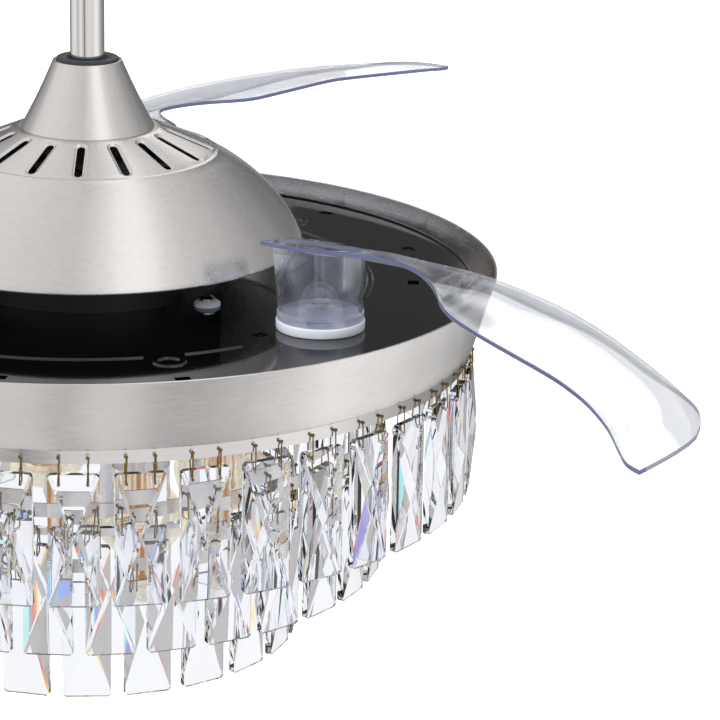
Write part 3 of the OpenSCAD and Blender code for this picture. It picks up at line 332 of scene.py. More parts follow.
# %% Materials of the CAD nodes
FINISH = {
    "ceiling_bracket": STEEL, "ball_seat": STEEL, "canopy": NICKEL, "canopy_screws": STEEL,
    "remote_receiver": RECEIVER, "hanger_ball": BALL_NYLON, "ball_pin": STEEL,
    "downrod": ROD_NICKEL, "rod_coupling": CAST_GREY, "coupling_pins": STEEL,
    "rubber_ring": RUBBER, "coupling_cover": NICKEL, "dome": NICKEL, "dome_screws": STEEL,
    "motor_axle": STEEL, "stator_core": LAMINATION, "stator_windings": COPPER,
    "bearing_inner_races": BEARING, "bearing_outer_races": BEARING, "bearing_balls": BEARING,
    "upper_motor_shell": SATIN_BLACK, "lower_motor_shell": SATIN_BLACK,
    "magnet_ring": FERRITE, "motor_bolts": STEEL, "hub_disc": ALLOY, "rotor_plate": STEEL,
    "tray": ENAMEL, "tray_screws": BEARING, "tray_washers": WHITE_NYLON,
    "pivot_feet": WHITE_NYLON, "pivot_bushes": BRONZE, "stop_posts": STEEL,
    "return_springs": SPRING, "sun_gear": NATURAL_NYLON, "pinion_1": NATURAL_NYLON,
    "pinion_2": NATURAL_NYLON, "pinion_3": NATURAL_NYLON, "pivot_shaft_1": BEARING,
    "pivot_shaft_2": BEARING, "pivot_shaft_3": BEARING, "blade_1": BLADE, "blade_2": BLADE,
    "blade_3": BLADE, "pan_band": NICKEL, "light_plate": STRIP, "axle_nuts": STEEL,
    "pan_screws": STEEL, "crystal_ring_1": STRIP, "crystal_ring_2": STRIP,
    "crystal_ring_3": STRIP, "ring_hangers": STRIP, "crystals_tier_1": CRYSTAL,
    "crystals_tier_2": CRYSTAL, "crystals_tier_3": CRYSTAL, "crystal_pins": OLD_BRASS,
    "lamp_cups": STRIP, "lamp_sockets": PORCELAIN, "bulb_caps": CAP_BRASS,
    "bulb_glass": LAMP_GLASS, "bulb_filaments": FILAMENT_PAINTED_GLOW,
}


def paint(obj, mat):
    obj.data.materials.clear()
    obj.data.materials.append(mat)


for name, obj in nodes.items():
    paint(obj, FINISH[name])
print("painted", len(nodes), "nodes")

# %% [markdown]
# ## Rounded edges
# Spun and stamped edges are never razor sharp: a small round catches a thin line of light.
# A CAD mesh is loose triangles, so a copy is merged first, its flat faces are joined, and
# then its sharp edges are bevelled. The copy stands for the CAD node and rides on its body.

# %% Rounded copies
def from_bmesh(name, bm, mats, body, smooth_deg=35.0):
    """Makes an object of a bmesh, smooth but for its sharp edges, that rides on a body."""
    bmesh.ops.recalc_face_normals(bm, faces=bm.faces)
    mesh = bpy.data.meshes.new(name)
    for mat in mats:
        mesh.materials.append(mat)
    bm.to_mesh(mesh)
    bm.free()
    for face in mesh.polygons:
        face.use_smooth = True
    mesh.set_sharp_from_angle(angle=math.radians(smooth_deg))
    obj = bpy.data.objects.new(name, mesh)
    bpy.context.scene.collection.objects.link(obj)
    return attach(obj, body)


def welded(node):
    """A copy of a CAD node's mesh, its vertices merged and its flat faces joined."""
    bm = bmesh.new()
    bm.from_mesh(nodes[node].data)
    bmesh.ops.remove_doubles(bm, verts=bm.verts, dist=2e-6)
    bmesh.ops.dissolve_limit(bm, angle_limit=math.radians(0.4), verts=bm.verts, edges=bm.edges)
    return bm


def sharp_edges(bm, sharper_deg):
    return [e for e in bm.edges
            if len(e.link_faces) == 2 and e.calc_face_angle(0) > math.radians(sharper_deg)]


def round_off(bm, edges, width, segments=2):
    bmesh.ops.bevel(bm, geom=edges, offset=width, offset_type="OFFSET", segments=segments,
                    profile=0.5, affect="EDGES", material=-1, clamp_overlap=True)


def rounded(node, width_mm, sharper_deg=38.0, segments=2, smooth_deg=35.0):
    """A copy of a CAD node with its sharp edges rounded, which stands for the node."""
    bm = welded(node)
    round_off(bm, sharp_edges(bm, sharper_deg), width_mm * MM, segments)
    obj = from_bmesh(node + "_rounded", bm, [FINISH[node]], body_of_node[node], smooth_deg)
    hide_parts(node)
    return obj


for name, width in (("coupling_cover", 0.35), ("rubber_ring", 0.6), ("pan_band", 0.2),
                    ("tray_washers", 0.5), ("pivot_feet", 0.8), ("canopy", 0.35)):
    made = rounded(name, width)
    print(made.name, len(made.data.polygons), "faces")

# %% [markdown]
# ## The dome
# The dome is spun steel: an ellipse that turns, at a soft ridge, into a slotted cone and a
# flat top. Each slot was stamped, which leaves a dished border round it. A Boolean would cut
# ragged triangles into a curved face, and they would show in its reflections. So one slot's
# outline is drawn first, and extruded outwards in rings until it fills its sixteenth of the
# cone. Fifteen turned copies close the cone, and its two edges are extruded on, down to the
# dome's foot and in to its top. Every ring is laid on the one curve that gives the height.

# %% The dome's curve
# All in millimetres, with heights over the pan's rim.
DOME_R, DOME_LOW, DOME_TOP, SHEET = 132.25, 16.5, 86.0, 1.0
SINK = 26.5                          # the ellipse's middle under the dome's lower edge
OVER_TOP = 3.3                       # how far the whole ellipse would rise over the flat top
HALF_HIGH = DOME_TOP - DOME_LOW + SINK + OVER_TOP
HALF_WIDE = DOME_R / math.sqrt(1 - (SINK / HALF_HIGH) ** 2)
SHOULDER_R, FLAT_R, TOP_HOLE_R = 0.58 * DOME_R, 44.0, 18.3
STEP_WIDE, STEP_HIGH = 2.0, 0.9      # the small step where the cone meets the ellipse
RIDGE_R, RIDGE_HALF, RIDGE_HIGH = 80.2, 1.8, 0.5


def smooth(x):
    """Eases from 0 to 1, and stays there."""
    x = min(1.0, max(0.0, x))
    return x * x * (3 - 2 * x)


def ellipse_z(r):
    return DOME_LOW - SINK + HALF_HIGH * math.sqrt(max(0, 1 - (r / HALF_WIDE) ** 2))


def dome_z(r):
    """The spun dome's height at a radius, before the slots are stamped."""
    if r < FLAT_R:
        return DOME_TOP
    edge, corner = ellipse_z(SHOULDER_R), SHOULDER_R - STEP_WIDE
    if r >= SHOULDER_R:
        z = ellipse_z(r)
    elif r > corner:
        z = edge + STEP_HIGH * (SHOULDER_R - r) / STEP_WIDE
    else:
        z = DOME_TOP + (edge + STEP_HIGH - DOME_TOP) * (r - FLAT_R) / (corner - FLAT_R)
    return z + RIDGE_HIGH * (1 - smooth(abs(r - RIDGE_R) / RIDGE_HALF))


print("dome", DOME_TOP - DOME_LOW, "mm high, shoulder at", round(dome_z(SHOULDER_R), 1))

# %% [markdown]
# ## Drawing a ring on
# A spinner works sheet metal ring by ring, and so does this tool: it extrudes a closed ring of
# edges and lays the new vertices where they are wanted. The dome and the blades both grow
# this way. The rings keep their number of points, so every face has four sides and the
# reflections run smoothly over them.

# %% Extruding a ring
def draw_ring(bm, ring, places):
    """Extrudes a closed ring of vertices, and puts the new ones at the places given."""
    edges = [bm.edges.get(pair) for pair in zip(ring, ring[1:] + ring[:1])]
    made = bmesh.ops.extrude_edge_only(bm, edges=edges)["geom"]
    fresh = {v for v in made if isinstance(v, bmesh.types.BMVert)}
    ring = [next(e.other_vert(v) for e in v.link_edges if e.other_vert(v) in fresh)
            for v in ring]
    for v, place in zip(ring, places):
        v.co = place
    return ring


print("ring tool ready")

# %% [markdown]
# ## A stamped slot
# The press cuts the slot and sinks its border in one stroke, so the sheet dips smoothly
# towards the cut. A circle of vertices is laid on the slot's outline: two half circles and
# two sides. Rings close together cross the dip, where the curve is sharp, and three wide
# ones carry the sheet to the border of the slot's share, which has as many points.

# %% One slot's share of the cone
SLOTS, SLOT_FIRST, SLOT_IN, SLOT_OUT, SLOT_HALF = 16, -94.7, 50.0, 73.0, 2.4
PITCH = math.tau / SLOTS
ARC, SIDE = 12, 12                   # steps round a slot's end, and along its side
DISH_IN, DISH_OUT, DISH_DEEP = 2.6, 4.4, 0.9   # the dip's ends, from the slot's middle line
DISH_RINGS = (DISH_IN, 2.9, 3.2, 3.5, 3.8, 4.1, DISH_OUT, 5.0)
SHARE_R = 78.2                       # where a slot's sixteenth ends


def slot_outline(off):
    """Points round the slot, so far off its middle line, from its outer end onwards."""
    points = []
    for end, far, first, side in ((SLOT_OUT, SLOT_IN, -90, off), (SLOT_IN, SLOT_OUT, 90, -off)):
        for k in range(ARC + 1):
            a = math.radians(first + 180 * k / ARC)
            points.append(Vector((end + off * math.cos(a), off * math.sin(a), 0)))
        points += [Vector((end + (far - end) * k / SIDE, side, 0)) for k in range(1, SIDE)]
    return points


def share_outline():
    """The border of the slot's sixteenth, with as many points in the same order."""
    points = []
    for here, there, sign in ((SHARE_R, FLAT_R, 1), (FLAT_R, SHARE_R, -1)):
        for k in range(ARC + 1):
            a = sign * PITCH * (k / ARC - 0.5)
            points.append(Vector((here * math.cos(a), here * math.sin(a), 0)))
        a = sign * PITCH / 2
        for k in range(1, SIDE):
            r = here + (there - here) * k / SIDE
            points.append(Vector((r * math.cos(a), r * math.sin(a), 0)))
    return points


dome_bm = bmesh.new()
ring = bmesh.ops.create_circle(dome_bm, segments=2 * (ARC + SIDE), radius=SLOT_HALF)["verts"]
for v, place in zip(ring, slot_outline(SLOT_HALF)):
    v.co = place
for off in DISH_RINGS:
    ring = draw_ring(dome_bm, ring, slot_outline(off))
start = [v.co.copy() for v in ring]
for part in (0.33, 0.66, 1.0):
    ring = draw_ring(dome_bm, ring,
                     [a.lerp(b, part) for a, b in zip(start, share_outline())])
for v in dome_bm.verts:
    beyond = max(SLOT_IN - v.co.x, v.co.x - SLOT_OUT, 0)
    off = math.hypot(beyond, v.co.y)
    dish = DISH_DEEP * (1 - smooth((off - DISH_IN) / (DISH_OUT - DISH_IN)))
    v.co.z = dome_z(math.hypot(v.co.x, v.co.y)) - dish
print("one slot's share:", len(dome_bm.faces), "faces")

# %% [markdown]
# ## Closing the cone
# Spin turns fifteen copies of the share round the axis, and the doubles along their borders
# are merged. The sheet's outer edge is then drawn down the ellipse to the foot, with rings
# close enough at the ridge to hold it, and its inner edge is drawn in to the top hole.

# %% The cone, its bowl and its top
WELD, NEAR = 0.02, 0.5               # what counts as one place, and as one radius
RIDGE_STEP, BOWL_RINGS, FOOT_WIDE = 0.45, 24, 4
bmesh.ops.spin(dome_bm, geom=dome_bm.verts[:] + dome_bm.edges[:] + dome_bm.faces[:],
               cent=(0, 0, 0), axis=(0, 0, 1), angle=math.tau - PITCH, steps=SLOTS - 1,
               use_duplicate=True)
bmesh.ops.remove_doubles(dome_bm, verts=dome_bm.verts, dist=WELD)


def edge_ring(bm, r):
    """The border vertices at a radius, in their order round the axis."""
    ring = {v for e in bm.edges if e.is_boundary for v in e.verts
            if abs(math.hypot(v.co.x, v.co.y) - r) < NEAR}
    return sorted(ring, key=lambda v: math.atan2(v.co.y, v.co.x))


def to_radius(ring, r, z):
    return [Vector((v.co.x, v.co.y, 0)).normalized() * r + Vector((0, 0, z)) for v in ring]


ring = edge_ring(dome_bm, SHARE_R)
for k in range(-3, 5):
    r = RIDGE_R + RIDGE_STEP * k
    ring = draw_ring(dome_bm, ring, to_radius(ring, r, dome_z(r)))
first, last = math.asin(r / HALF_WIDE), math.asin(DOME_R / HALF_WIDE)
for k in range(1, BOWL_RINGS + 1):
    r = HALF_WIDE * math.sin(first + (last - first) * k / BOWL_RINGS)
    ring = draw_ring(dome_bm, ring, to_radius(ring, r, dome_z(r)))
for r in (DOME_R, DOME_R - FOOT_WIDE):
    ring = draw_ring(dome_bm, ring, to_radius(ring, r, DOME_LOW - SHEET))
ring = edge_ring(dome_bm, FLAT_R)
for r in (42.0, 31.0, TOP_HOLE_R):
    ring = draw_ring(dome_bm, ring, to_radius(ring, r, DOME_TOP))
print("the dome's sheet:", len(dome_bm.faces), "faces")

# %% [markdown]
# ## The dome's wall
# The sheet is 1 mm thick. Its faces are turned outwards while it is still a single skin,
# because solidify builds the wall on their inner side. A small bevel rounds the cut edges,
# which then catch a line of light round each slot. The pieces at the ceiling stay out of
# mirrors: their dark insides would put a darker spot on the dome than the photograph shows.

# %% The whole dome
bmesh.ops.recalc_face_normals(dome_bm, faces=dome_bm.faces)
# on an open sheet the recalculation may choose the wrong side, so its top is looked at
if max(dome_bm.faces, key=lambda f: f.calc_center_median().z).normal.z < 0:
    bmesh.ops.reverse_faces(dome_bm, faces=dome_bm.faces)
bmesh.ops.solidify(dome_bm, geom=dome_bm.faces[:], thickness=SHEET)
round_off(dome_bm, sharp_edges(dome_bm, 50), 0.25)
dome_bm.transform(Matrix.Translation((0, 0, RIM_Z)) @ Matrix.Scale(MM, 4)
                  @ Matrix.Rotation(math.radians(SLOT_FIRST), 4, "Z"))
for name in ("ceiling_bracket", "ball_seat", "canopy_rounded", "remote_receiver",
             "hanger_ball"):
    bpy.data.objects[name].visible_glossy = False
dome = from_bmesh("dome_spun", dome_bm, [NICKEL], body_of_node["dome"])
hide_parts("dome")
low, high = (Vector(f(v.co[i] for v in dome.data.vertices) for i in range(3))
             for f in (min, max))

# %% [markdown]
# ## The blades
# A blade is one injection moulding: a root cup that turns on the pivot, and a sheet that
# leaves its mouth. Two edge curves, from root to tip, carry the sheet between them, so the
# whole form is in two short lists of points and a few amounts of crown and roll. All numbers
# are millimetres from the pivot, X outwards, with heights over the black tray.

# %% Blade outline
HOLLOW = [(-24, -28, 55), (2, -28.5, 55.5), (28, -17, 54.5), (48, -10, 53.5), (64, -9, 52.5),
          (80, -15, 51.5), (96, -27, 50.5), (109, -40, 49.5), (119, -51.5, 48.5),
          (136, -65, 47), (164, -81, 46), (194, -94, 44), (219, -104, 42), (238, -113, 40.5),
          (261, -126.5, 38), (286, -148, 36), (308, -173, 35), (320, -185.5, 34),
          (330, -189.5, 33)]
ROUND = [(-31, 5, 48), (-27, 16, 46), (-13, 26, 43.5), (3, 32, 42.5), (24, 39, 41.5),
         (47, 45, 40), (72, 46, 40), (98, 43.5, 39.5), (126, 37, 39), (153, 28, 38.5),
         (179, 16, 38), (204, 2, 36.5), (226, -13, 35.5), (248, -29, 34.5), (272, -48, 33.5),
         (296, -73, 33), (313, -99, 32.5), (323, -121, 32)]
THICK = 2.6
CROWN, ROLL, BULGE = 5.0, 12.0, 5.0  # rise in the middle, drop of the far side, round end
ROLL_U = 0.74                        # across the sheet, where the far side starts to drop
IN_EDGE = 0.002                      # the share of its width by which the sheet stays inside
TRAY_Z = -10.0                       # the tray under the pan's rim
CUP_Z = TRAY_Z + 6.1                 # foot of the root cup
WALL_Z = CUP_Z + 3
FLOOR_Z = CUP_Z + 5
CUP_R, WALL, GROW, LEAN = 25.0, 2.2, 0.065, 0.045
MOUTH_HIGH, MOUTH_LOW = (-28.5, 55.5), (32, 42.5)   # the mouth's ends: across, and height
MOUTH_SLOPE = (MOUTH_HIGH[1] - MOUTH_LOW[1]) / (MOUTH_LOW[0] - MOUTH_HIGH[0])
ROOT_T = 4 / 18                      # where the sheet leaves the cup's surroundings


def along(points, t):
    """A Catmull-Rom curve through the points."""
    n = len(points) - 1
    s = min(t * n, n - 1e-4)
    k = int(s)
    f = s - k
    a, b, c, d = (Vector(points[i]) for i in (max(k - 1, 0), k, k + 1, min(k + 2, n)))
    return 0.5 * (2 * b + (c - a) * f + (2 * a - 5 * b + 4 * c - d) * f * f
                  + (3 * b - a - 3 * c + d) * f ** 3)


def sheet_point(t, u):
    """The sheet's upper face: t from the root to the tip, u from edge to edge."""
    a, b = along(HOLLOW, t), along(ROUND, t)
    arch = 4 * u * (1 - u)
    body = smooth((t - 0.22) / 0.3)              # no crown and no drop over the cup
    crown = CROWN * body * (1 - 0.5 * smooth((t - 0.8) / 0.2)) * arch
    drop = ROLL * body * smooth((1 - t) / 0.3) * max(0, (u - ROLL_U) / (1 - ROLL_U)) ** 2
    out = BULGE * smooth((t - 0.9) / 0.1) * arch
    u = IN_EDGE + (1 - 2 * IN_EDGE) * u
    return a + (b - a) * u + Vector((out, 0, crown - drop + TRAY_Z))


def mouth_z(y):
    return TRAY_Z + MOUTH_HIGH[1] - MOUTH_SLOPE * (y - MOUTH_HIGH[0])


def cup_point(angle, z, inset):
    r = CUP_R - inset + GROW * (z - (FLOOR_Z if inset else WALL_Z))
    return Vector((r * math.cos(angle) - LEAN * (z - WALL_Z), r * math.sin(angle), z))


def mouth_point(angle, inset, drop):
    """Where the cup's cone meets the sloping mouth, a little under its upper face."""
    z = 40.0
    for _ in range(6):
        z = mouth_z(cup_point(angle, z, inset).y) - drop
    return cup_point(angle, z, inset)


print("blade", round(max(p[0] for p in HOLLOW)), "mm long from its pivot")

# %% [markdown]
# ## A blade's two skins
# The upper and the lower face are made alike. A flat grid is laid on the two edge curves, and
# a circle of vertices becomes the root's outline. Extruded inwards and down, that circle
# makes the slope to the cup's mouth, the cup's wall and its floor. Where the two skins end,
# bridge_loops closes them, and a bevel rounds the edge, as a mould does.

# %% One skin
ROWS, SPANS, ROOT_ROWS, HEEL, WALL_ROWS = 130, 28, 24, 8, 6
TIP_T = 0.9985                       # the sheet stops a hair inside the CAD's tip
LIP_HIGH = 1.2                       # the rounded lip round the cup's mouth
MOUTH_SHIFT = LEAN * 44              # how far the cup has leant over at its mouth
# the rings from the root's outline to the mouth: how far on, and how high they are lifted
TO_MOUTH = ((0.3, 0), (0.6, 0), (0.85, LIP_HIGH / 2), (0.95, LIP_HIGH), (1.0, 0))
BORE_R = 5.2
CUP_INSIDE = ((20.5, FLOOR_Z), (14.0, FLOOR_Z), (BORE_R, FLOOR_Z))
CUP_OUTSIDE = ((25.6, FLOOR_Z), (26.0, FLOOR_Z - 0.4), (26.0, CUP_Z + 0.4), (25.6, CUP_Z),
               (BORE_R, CUP_Z))
FACE, NEAR_EDGE, THIN_EDGE, IN_CUP = range(4)    # a blade's material slots


def root_line():
    """The root's outline as (along, across): sheet, far edge, heel, near edge."""
    line = [(ROOT_T, k / SPANS) for k in range(SPANS + 1)]
    line += [(ROOT_T * (1 - k / ROOT_ROWS), 1.0) for k in range(1, ROOT_ROWS + 1)]
    line += [(0.0, 1 - k / HEEL) for k in range(1, HEEL)]
    return line + [(ROOT_T * k / ROOT_ROWS, 0.0) for k in range(ROOT_ROWS)]


def skin(bm, low):
    """The blade's upper (0) or lower (1) face with its cup."""
    down = Vector((0, 0, THICK * low))
    for v in bmesh.ops.create_grid(bm, x_segments=ROWS, y_segments=SPANS, size=0.5)["verts"]:
        v.co = sheet_point(ROOT_T + (TIP_T - ROOT_T) * (v.co.x + 0.5), v.co.y + 0.5) - down
    sheet_faces = len(bm.faces)
    line = root_line()
    ring = bmesh.ops.create_circle(bm, segments=len(line), radius=1)["verts"]
    for v, (t, u) in zip(ring, line):
        v.co = sheet_point(t, u) - down
    inset = 0.0 if low else WALL
    angles = [math.atan2(v.co.y, v.co.x + MOUTH_SHIFT) for v in ring]
    rim = [mouth_point(a, inset, THICK * low) for a in angles]
    start = [v.co.copy() for v in ring]
    for part, lift in TO_MOUTH:
        ring = draw_ring(bm, ring, [v.lerp(r, part) + Vector((0, 0, 0 if low else lift))
                                    for v, r in zip(start, rim)])
    for k in range(1, WALL_ROWS + 1):
        ring = draw_ring(bm, ring, [cup_point(a, r.z + (FLOOR_Z - r.z) * k / WALL_ROWS, inset)
                                    for a, r in zip(angles, rim)])
    for r, z in (CUP_OUTSIDE if low else CUP_INSIDE):
        ring = draw_ring(bm, ring, [Vector((r * math.cos(a), r * math.sin(a), z))
                                    for a in angles])
    bm.faces.ensure_lookup_table()
    for face in bm.faces[sheet_faces:]:
        face.material_index = IN_CUP


print("the root's outline:", len(root_line()), "points")

# %% [markdown]
# ## Three blades from one
# A clear sheet shows most at its edge, where the eye looks through its whole width. So the
# edge that faces the hollow side is violet with a painted glow, the others are greyer with a
# painted glow, and the rounded corners stay as clear as the faces. One blade is made in its
# own millimetres. Its copies are then turned to the three pivots, which are read from the
# joints, and ride on their arms.

# %% Blade mesh
CORNER = 0.85                        # the corners' rounding, of a 2.6 mm edge
BESIDE = 4                           # so near the hollow curve, a face is part of its edge
SLOPING = 0.35                       # an upright face's normal rises less than this


def blade_mesh():
    bm = bmesh.new()
    for low in (0, 1):
        skin(bm, low)
    bmesh.ops.remove_doubles(bm, verts=bm.verts, dist=0.005)
    border = [e for e in bm.edges if e.is_boundary]
    holes = [e for e in border if all(v.co.xy.length < BORE_R + 1 for v in e.verts)]
    bmesh.ops.bridge_loops(bm, edges=holes)
    rim = bmesh.ops.bridge_loops(bm, edges=[e for e in border if e not in holes])["faces"]
    # the edge beside the hollow curve gets the violet painted glow, the other edges the grey painted glow
    near = [along(HOLLOW, k / 120) for k in range(121)]
    for face in rim:
        middle = face.calc_center_median() - Vector((0, 0, TRAY_Z))
        beside = min((middle - p).length for p in near) < BESIDE
        face.material_index = NEAR_EDGE if beside else THIN_EDGE
    round_off(bm, list({e for f in rim for e in f.edges
                        if e.calc_face_angle(0) > math.radians(40)}), CORNER)
    for face in bm.faces:
        face.normal_update()
        if face.material_index in (NEAR_EDGE, THIN_EDGE) and abs(face.normal.z) > SLOPING:
            face.material_index = FACE
    return bm


def pivot_matrix(i):
    """From blade millimetres to the row frame, for blade 1 to 3."""
    joint = next(j for j in frame["joints"] if j["name"] == f"blade_{i}_swing")
    x, y = joint["pos_m"][:2]
    turn = Matrix.Rotation(math.atan2(y, x), 4, "Z")
    return Matrix.Translation((x, y, RIM_Z)) @ turn @ Matrix.Scale(MM, 4)


blade_bm = blade_mesh()
for i in (1, 2, 3):
    bm = blade_bm.copy()
    bm.transform(pivot_matrix(i))
    made = from_bmesh(f"clear_blade_{i}", bm, [BLADE, BLADE_EDGE_PAINTED_GLOW, EDGE_GREY_PAINTED_GLOW, CUP],
                      f"blade_{i}_arm", 40.0)
    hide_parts(f"blade_{i}")
    print(made.name, len(made.data.polygons), "faces")
blade_bm.free()

# %% [markdown]
# ## Crystals
# The crystals are cut glass drops with flat facets. They keep the CAD's facets, and their
# edges are ground back by a hair, as the polisher does. That draws the thin dark and bright
# lines round each facet, without which cut glass looks like ice.

# %% Crystals
for tier in (1, 2, 3):
    made = rounded(f"crystals_tier_{tier}", 0.22, 12.0, 1, 8.0)
    print(made.name, len(made.data.polygons), "faces")

# %% [markdown]
# ## Wire pins
# Each crystal hangs on two pins of brass wire, bent to a long closed loop with a ball at the
# top. One loop is spun as a small ring, drawn out long, and crossed over; one ball is set on
# it. It has few faces, because 188 copies of it are needed. The copies are turned into place.

# %% Wire pins
LIP = -43.0                          # the band's lower edge, over the rim
RING_H, DROP, PIN_X = 8.5, 6.0, 8.2  # ring's height, crystal under it, pin from its middle
WIRE, BEND = 0.45, 1.6               # radii of the wire and of a loop's ends
LOOP_LOW, LOOP_HIGH = -DROP - 5.5, 4.0           # a loop's ends, from the ring's lower edge
BALL_R, BALL_SIDE, BALL_UP, CROSSING = 1.3, 0.5, 0.1, 0.7
CUT_EDGE, CUT_MIDDLE, HOLE_DOWN = 4, 12.5, 5.8   # a crystal's thickness, and its hole's depth
# ring radius, lower edge over the rim, crystals, first azimuth, crystal height
TIERS = [(238.0, LIP - RING_H, 40, 6.7, 79.0), (184.0, LIP - RING_H - 51.5, 32, 3.4, 79.0),
         (129.0, LIP - RING_H - 91.0, 22, -1.3, 89.0)]


def add_to(bm, other):
    """Puts a finished small bmesh into a bigger one."""
    mesh = bpy.data.meshes.new("part")
    other.to_mesh(mesh)
    other.free()
    bm.from_mesh(mesh)
    bpy.data.meshes.remove(mesh)


def one_pin(tall):
    """A wire loop, spun as a ring, drawn out long and crossed over, with a ball on top."""
    thick = CUT_EDGE + (CUT_MIDDLE - CUT_EDGE) * HOLE_DOWN / (tall / 2)
    half = thick / 2 + 0.35 + WIRE   # the loop clears the crystal by 0.35
    pin = bmesh.new()
    bmesh.ops.create_circle(pin, segments=6, radius=WIRE,
                            matrix=Matrix.Translation((BEND, 0, 0)))
    bmesh.ops.spin(pin, geom=pin.edges[:], cent=(0, 0, 0), axis=(0, 1, 0), angle=math.tau,
                   steps=14, use_merge=True, use_duplicate=False)
    reach = (LOOP_HIGH - LOOP_LOW) / 2 - BEND
    for v in pin.verts:
        climb = v.co.z / BEND
        v.co.z += math.copysign(reach, v.co.z)
        up = v.co.z / (reach + BEND)             # from -1 at the loop's foot to 1 at its top
        wide = half - 0.5 * (half - BEND) * (1 + up)
        v.co.x += math.copysign(max(wide - BEND, 0), v.co.x) * (1 - min(abs(climb), 1) ** 2)
        v.co.y += CROSSING * math.copysign(1, v.co.x) * math.sin(math.pi * up)
    bmesh.ops.translate(pin, verts=pin.verts, vec=(0, 0, (LOOP_LOW + LOOP_HIGH) / 2))
    ball = bmesh.ops.create_icosphere(pin, subdivisions=1, radius=BALL_R)
    bmesh.ops.translate(pin, verts=ball["verts"],
                        vec=(BEND + BALL_SIDE, 0, LOOP_HIGH + BALL_UP))
    bmesh.ops.recalc_face_normals(pin, faces=pin.faces)
    return pin


bm = bmesh.new()
for r, low, count, first, tall in TIERS:
    pin = one_pin(tall)
    for k in range(count):
        turn = Matrix.Rotation(math.radians(-90 + first + k * 360 / count), 4, "Z")
        for side in (-1, 1):
            copy = pin.copy()
            copy.transform(turn @ Matrix.Translation((r, side * PIN_X, low)))
            add_to(bm, copy)
    pin.free()
bm.transform(Matrix.Translation((0, 0, RIM_Z)) @ Matrix.Scale(MM, 4))
pins = from_bmesh("wire_pins", bm, [OLD_BRASS], "fixture", 60.0)
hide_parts("crystal_pins")
print("pins:", len(pins.data.polygons), "faces")

# %% [markdown]
# ## The studio's cards
# Polished metal is only as good as what it mirrors. The studio is a ring of lighter and
# darker cards round the fan. A spot on the metal mirrors the way that lies as far from its
# normal as the camera does, so the cards are placed by that normal: degrees round from the
# camera, then how bright they are. One ring serves normals that look up, as the dome's do,
# one those that look down, as the band's do, and one the upright downrod.

# %% Rings of cards
UPPER = [(-180, 0.6), (-120, 0.5), (-98, 0.15), (-80, 0.25), (-65, 0.55), (-50, 1.0),
         (-38, 1.05), (-25, 1.0), (-12, 0.92), (-2, 0.84), (5, 1.06), (12, 1.42), (19, 1.4),
         (25, 1.02), (32, 0.84), (42, 0.74), (50, 0.6), (60, 0.44), (80, 0.25), (98, 0.15),
         (120, 0.5), (180, 0.6)]
LOWER = [(-180, 0.3), (-90, 0.35), (-70, 0.6), (-45, 0.95), (-20, 0.92), (-7, 0.94),
         (-2, 0.66), (3, 0.96), (7, 0.9), (12, 0.6), (17, 0.62), (23, 0.76), (30, 0.98),
         (38, 1.3), (46, 1.16), (58, 0.9), (68, 0.62), (76, 0.36), (90, 0.3), (180, 0.3)]
UPRIGHT = [(-180, 0.15), (-85, 0.15), (-70, 0.3), (-56, 0.95), (-42, 1.1), (-30, 0.7),
           (-20, 1.1), (-12, 0.8), (-7, 0.25), (-2, 0.9), (8, 1.0), (20, 0.95), (32, 1.2),
           (40, 1.2), (48, 0.75), (60, 0.4), (75, 0.2), (88, 0.15), (180, 0.15)]
TOP_LEVEL = 1.5                      # the ramps hold shares of this
YAW, PITCH, ROLL_LEFT = -4.97, 17.21, -1.06      # the camera's turns, in degrees
CAMERA_WAY = math.radians(-90 + YAW)
CAMERA_RISE = math.radians(PITCH)

world = bpy.data.worlds.new("studio")
bpy.context.scene.world = world
world.use_nodes = True
tree = world.node_tree
tree.nodes.clear()
way = add(tree, "ShaderNodeTexCoord").outputs["Generated"]
to_camera = (math.cos(CAMERA_WAY) * math.cos(CAMERA_RISE),
             math.sin(CAMERA_WAY) * math.cos(CAMERA_RISE), math.sin(CAMERA_RISE))
between = add(tree, "ShaderNodeVectorMath", {0: way, 1: to_camera}, operation="ADD")
normal = add(tree, "ShaderNodeVectorMath", {0: between}, operation="NORMALIZE")
nx, ny, nz = add(tree, "ShaderNodeSeparateXYZ", {0: normal}).outputs
facing = add(tree, "ShaderNodeMath", {0: ny, 1: nx}, operation="ARCTAN2")
behind = add(tree, "ShaderNodeMath", {0: facing, 1: CAMERA_WAY - math.pi},
             operation="SUBTRACT")
round_it = add(tree, "ShaderNodeMath", {0: behind, 1: math.tau}, operation="FLOORED_MODULO")
share = add(tree, "ShaderNodeMath", {0: round_it, 1: math.tau}, operation="DIVIDE")


def set_steps(ramp, steps, kind):
    """Gives a colour ramp its steps, as (place from 0 to 1, colour)."""
    ramp.interpolation = kind
    for k, (place, colour) in enumerate(steps):
        if 0 < k < len(steps) - 1:
            stop = ramp.elements.new(place)
        else:
            stop = ramp.elements[0 if k == 0 else -1]
        stop.position, stop.color = place, colour


rings = {}
for name, levels in (("upper", UPPER), ("lower", LOWER), ("upright", UPRIGHT)):
    rings[name] = add(tree, "ShaderNodeValToRGB", {"Fac": share})
    set_steps(rings[name].color_ramp, [((degrees + 180) / 360, (level / TOP_LEVEL,) * 3 + (1,))
                                       for degrees, level in levels], "EASE")
print("cards:", {name: len(node.color_ramp.elements) for name, node in rings.items()})

# %% [markdown]
# ## Joining the rings
# A normal's height chooses its ring. Level pieces, such as the black tray, look straight up
# past the cards into a dim ceiling, which is why gloss black looks black.

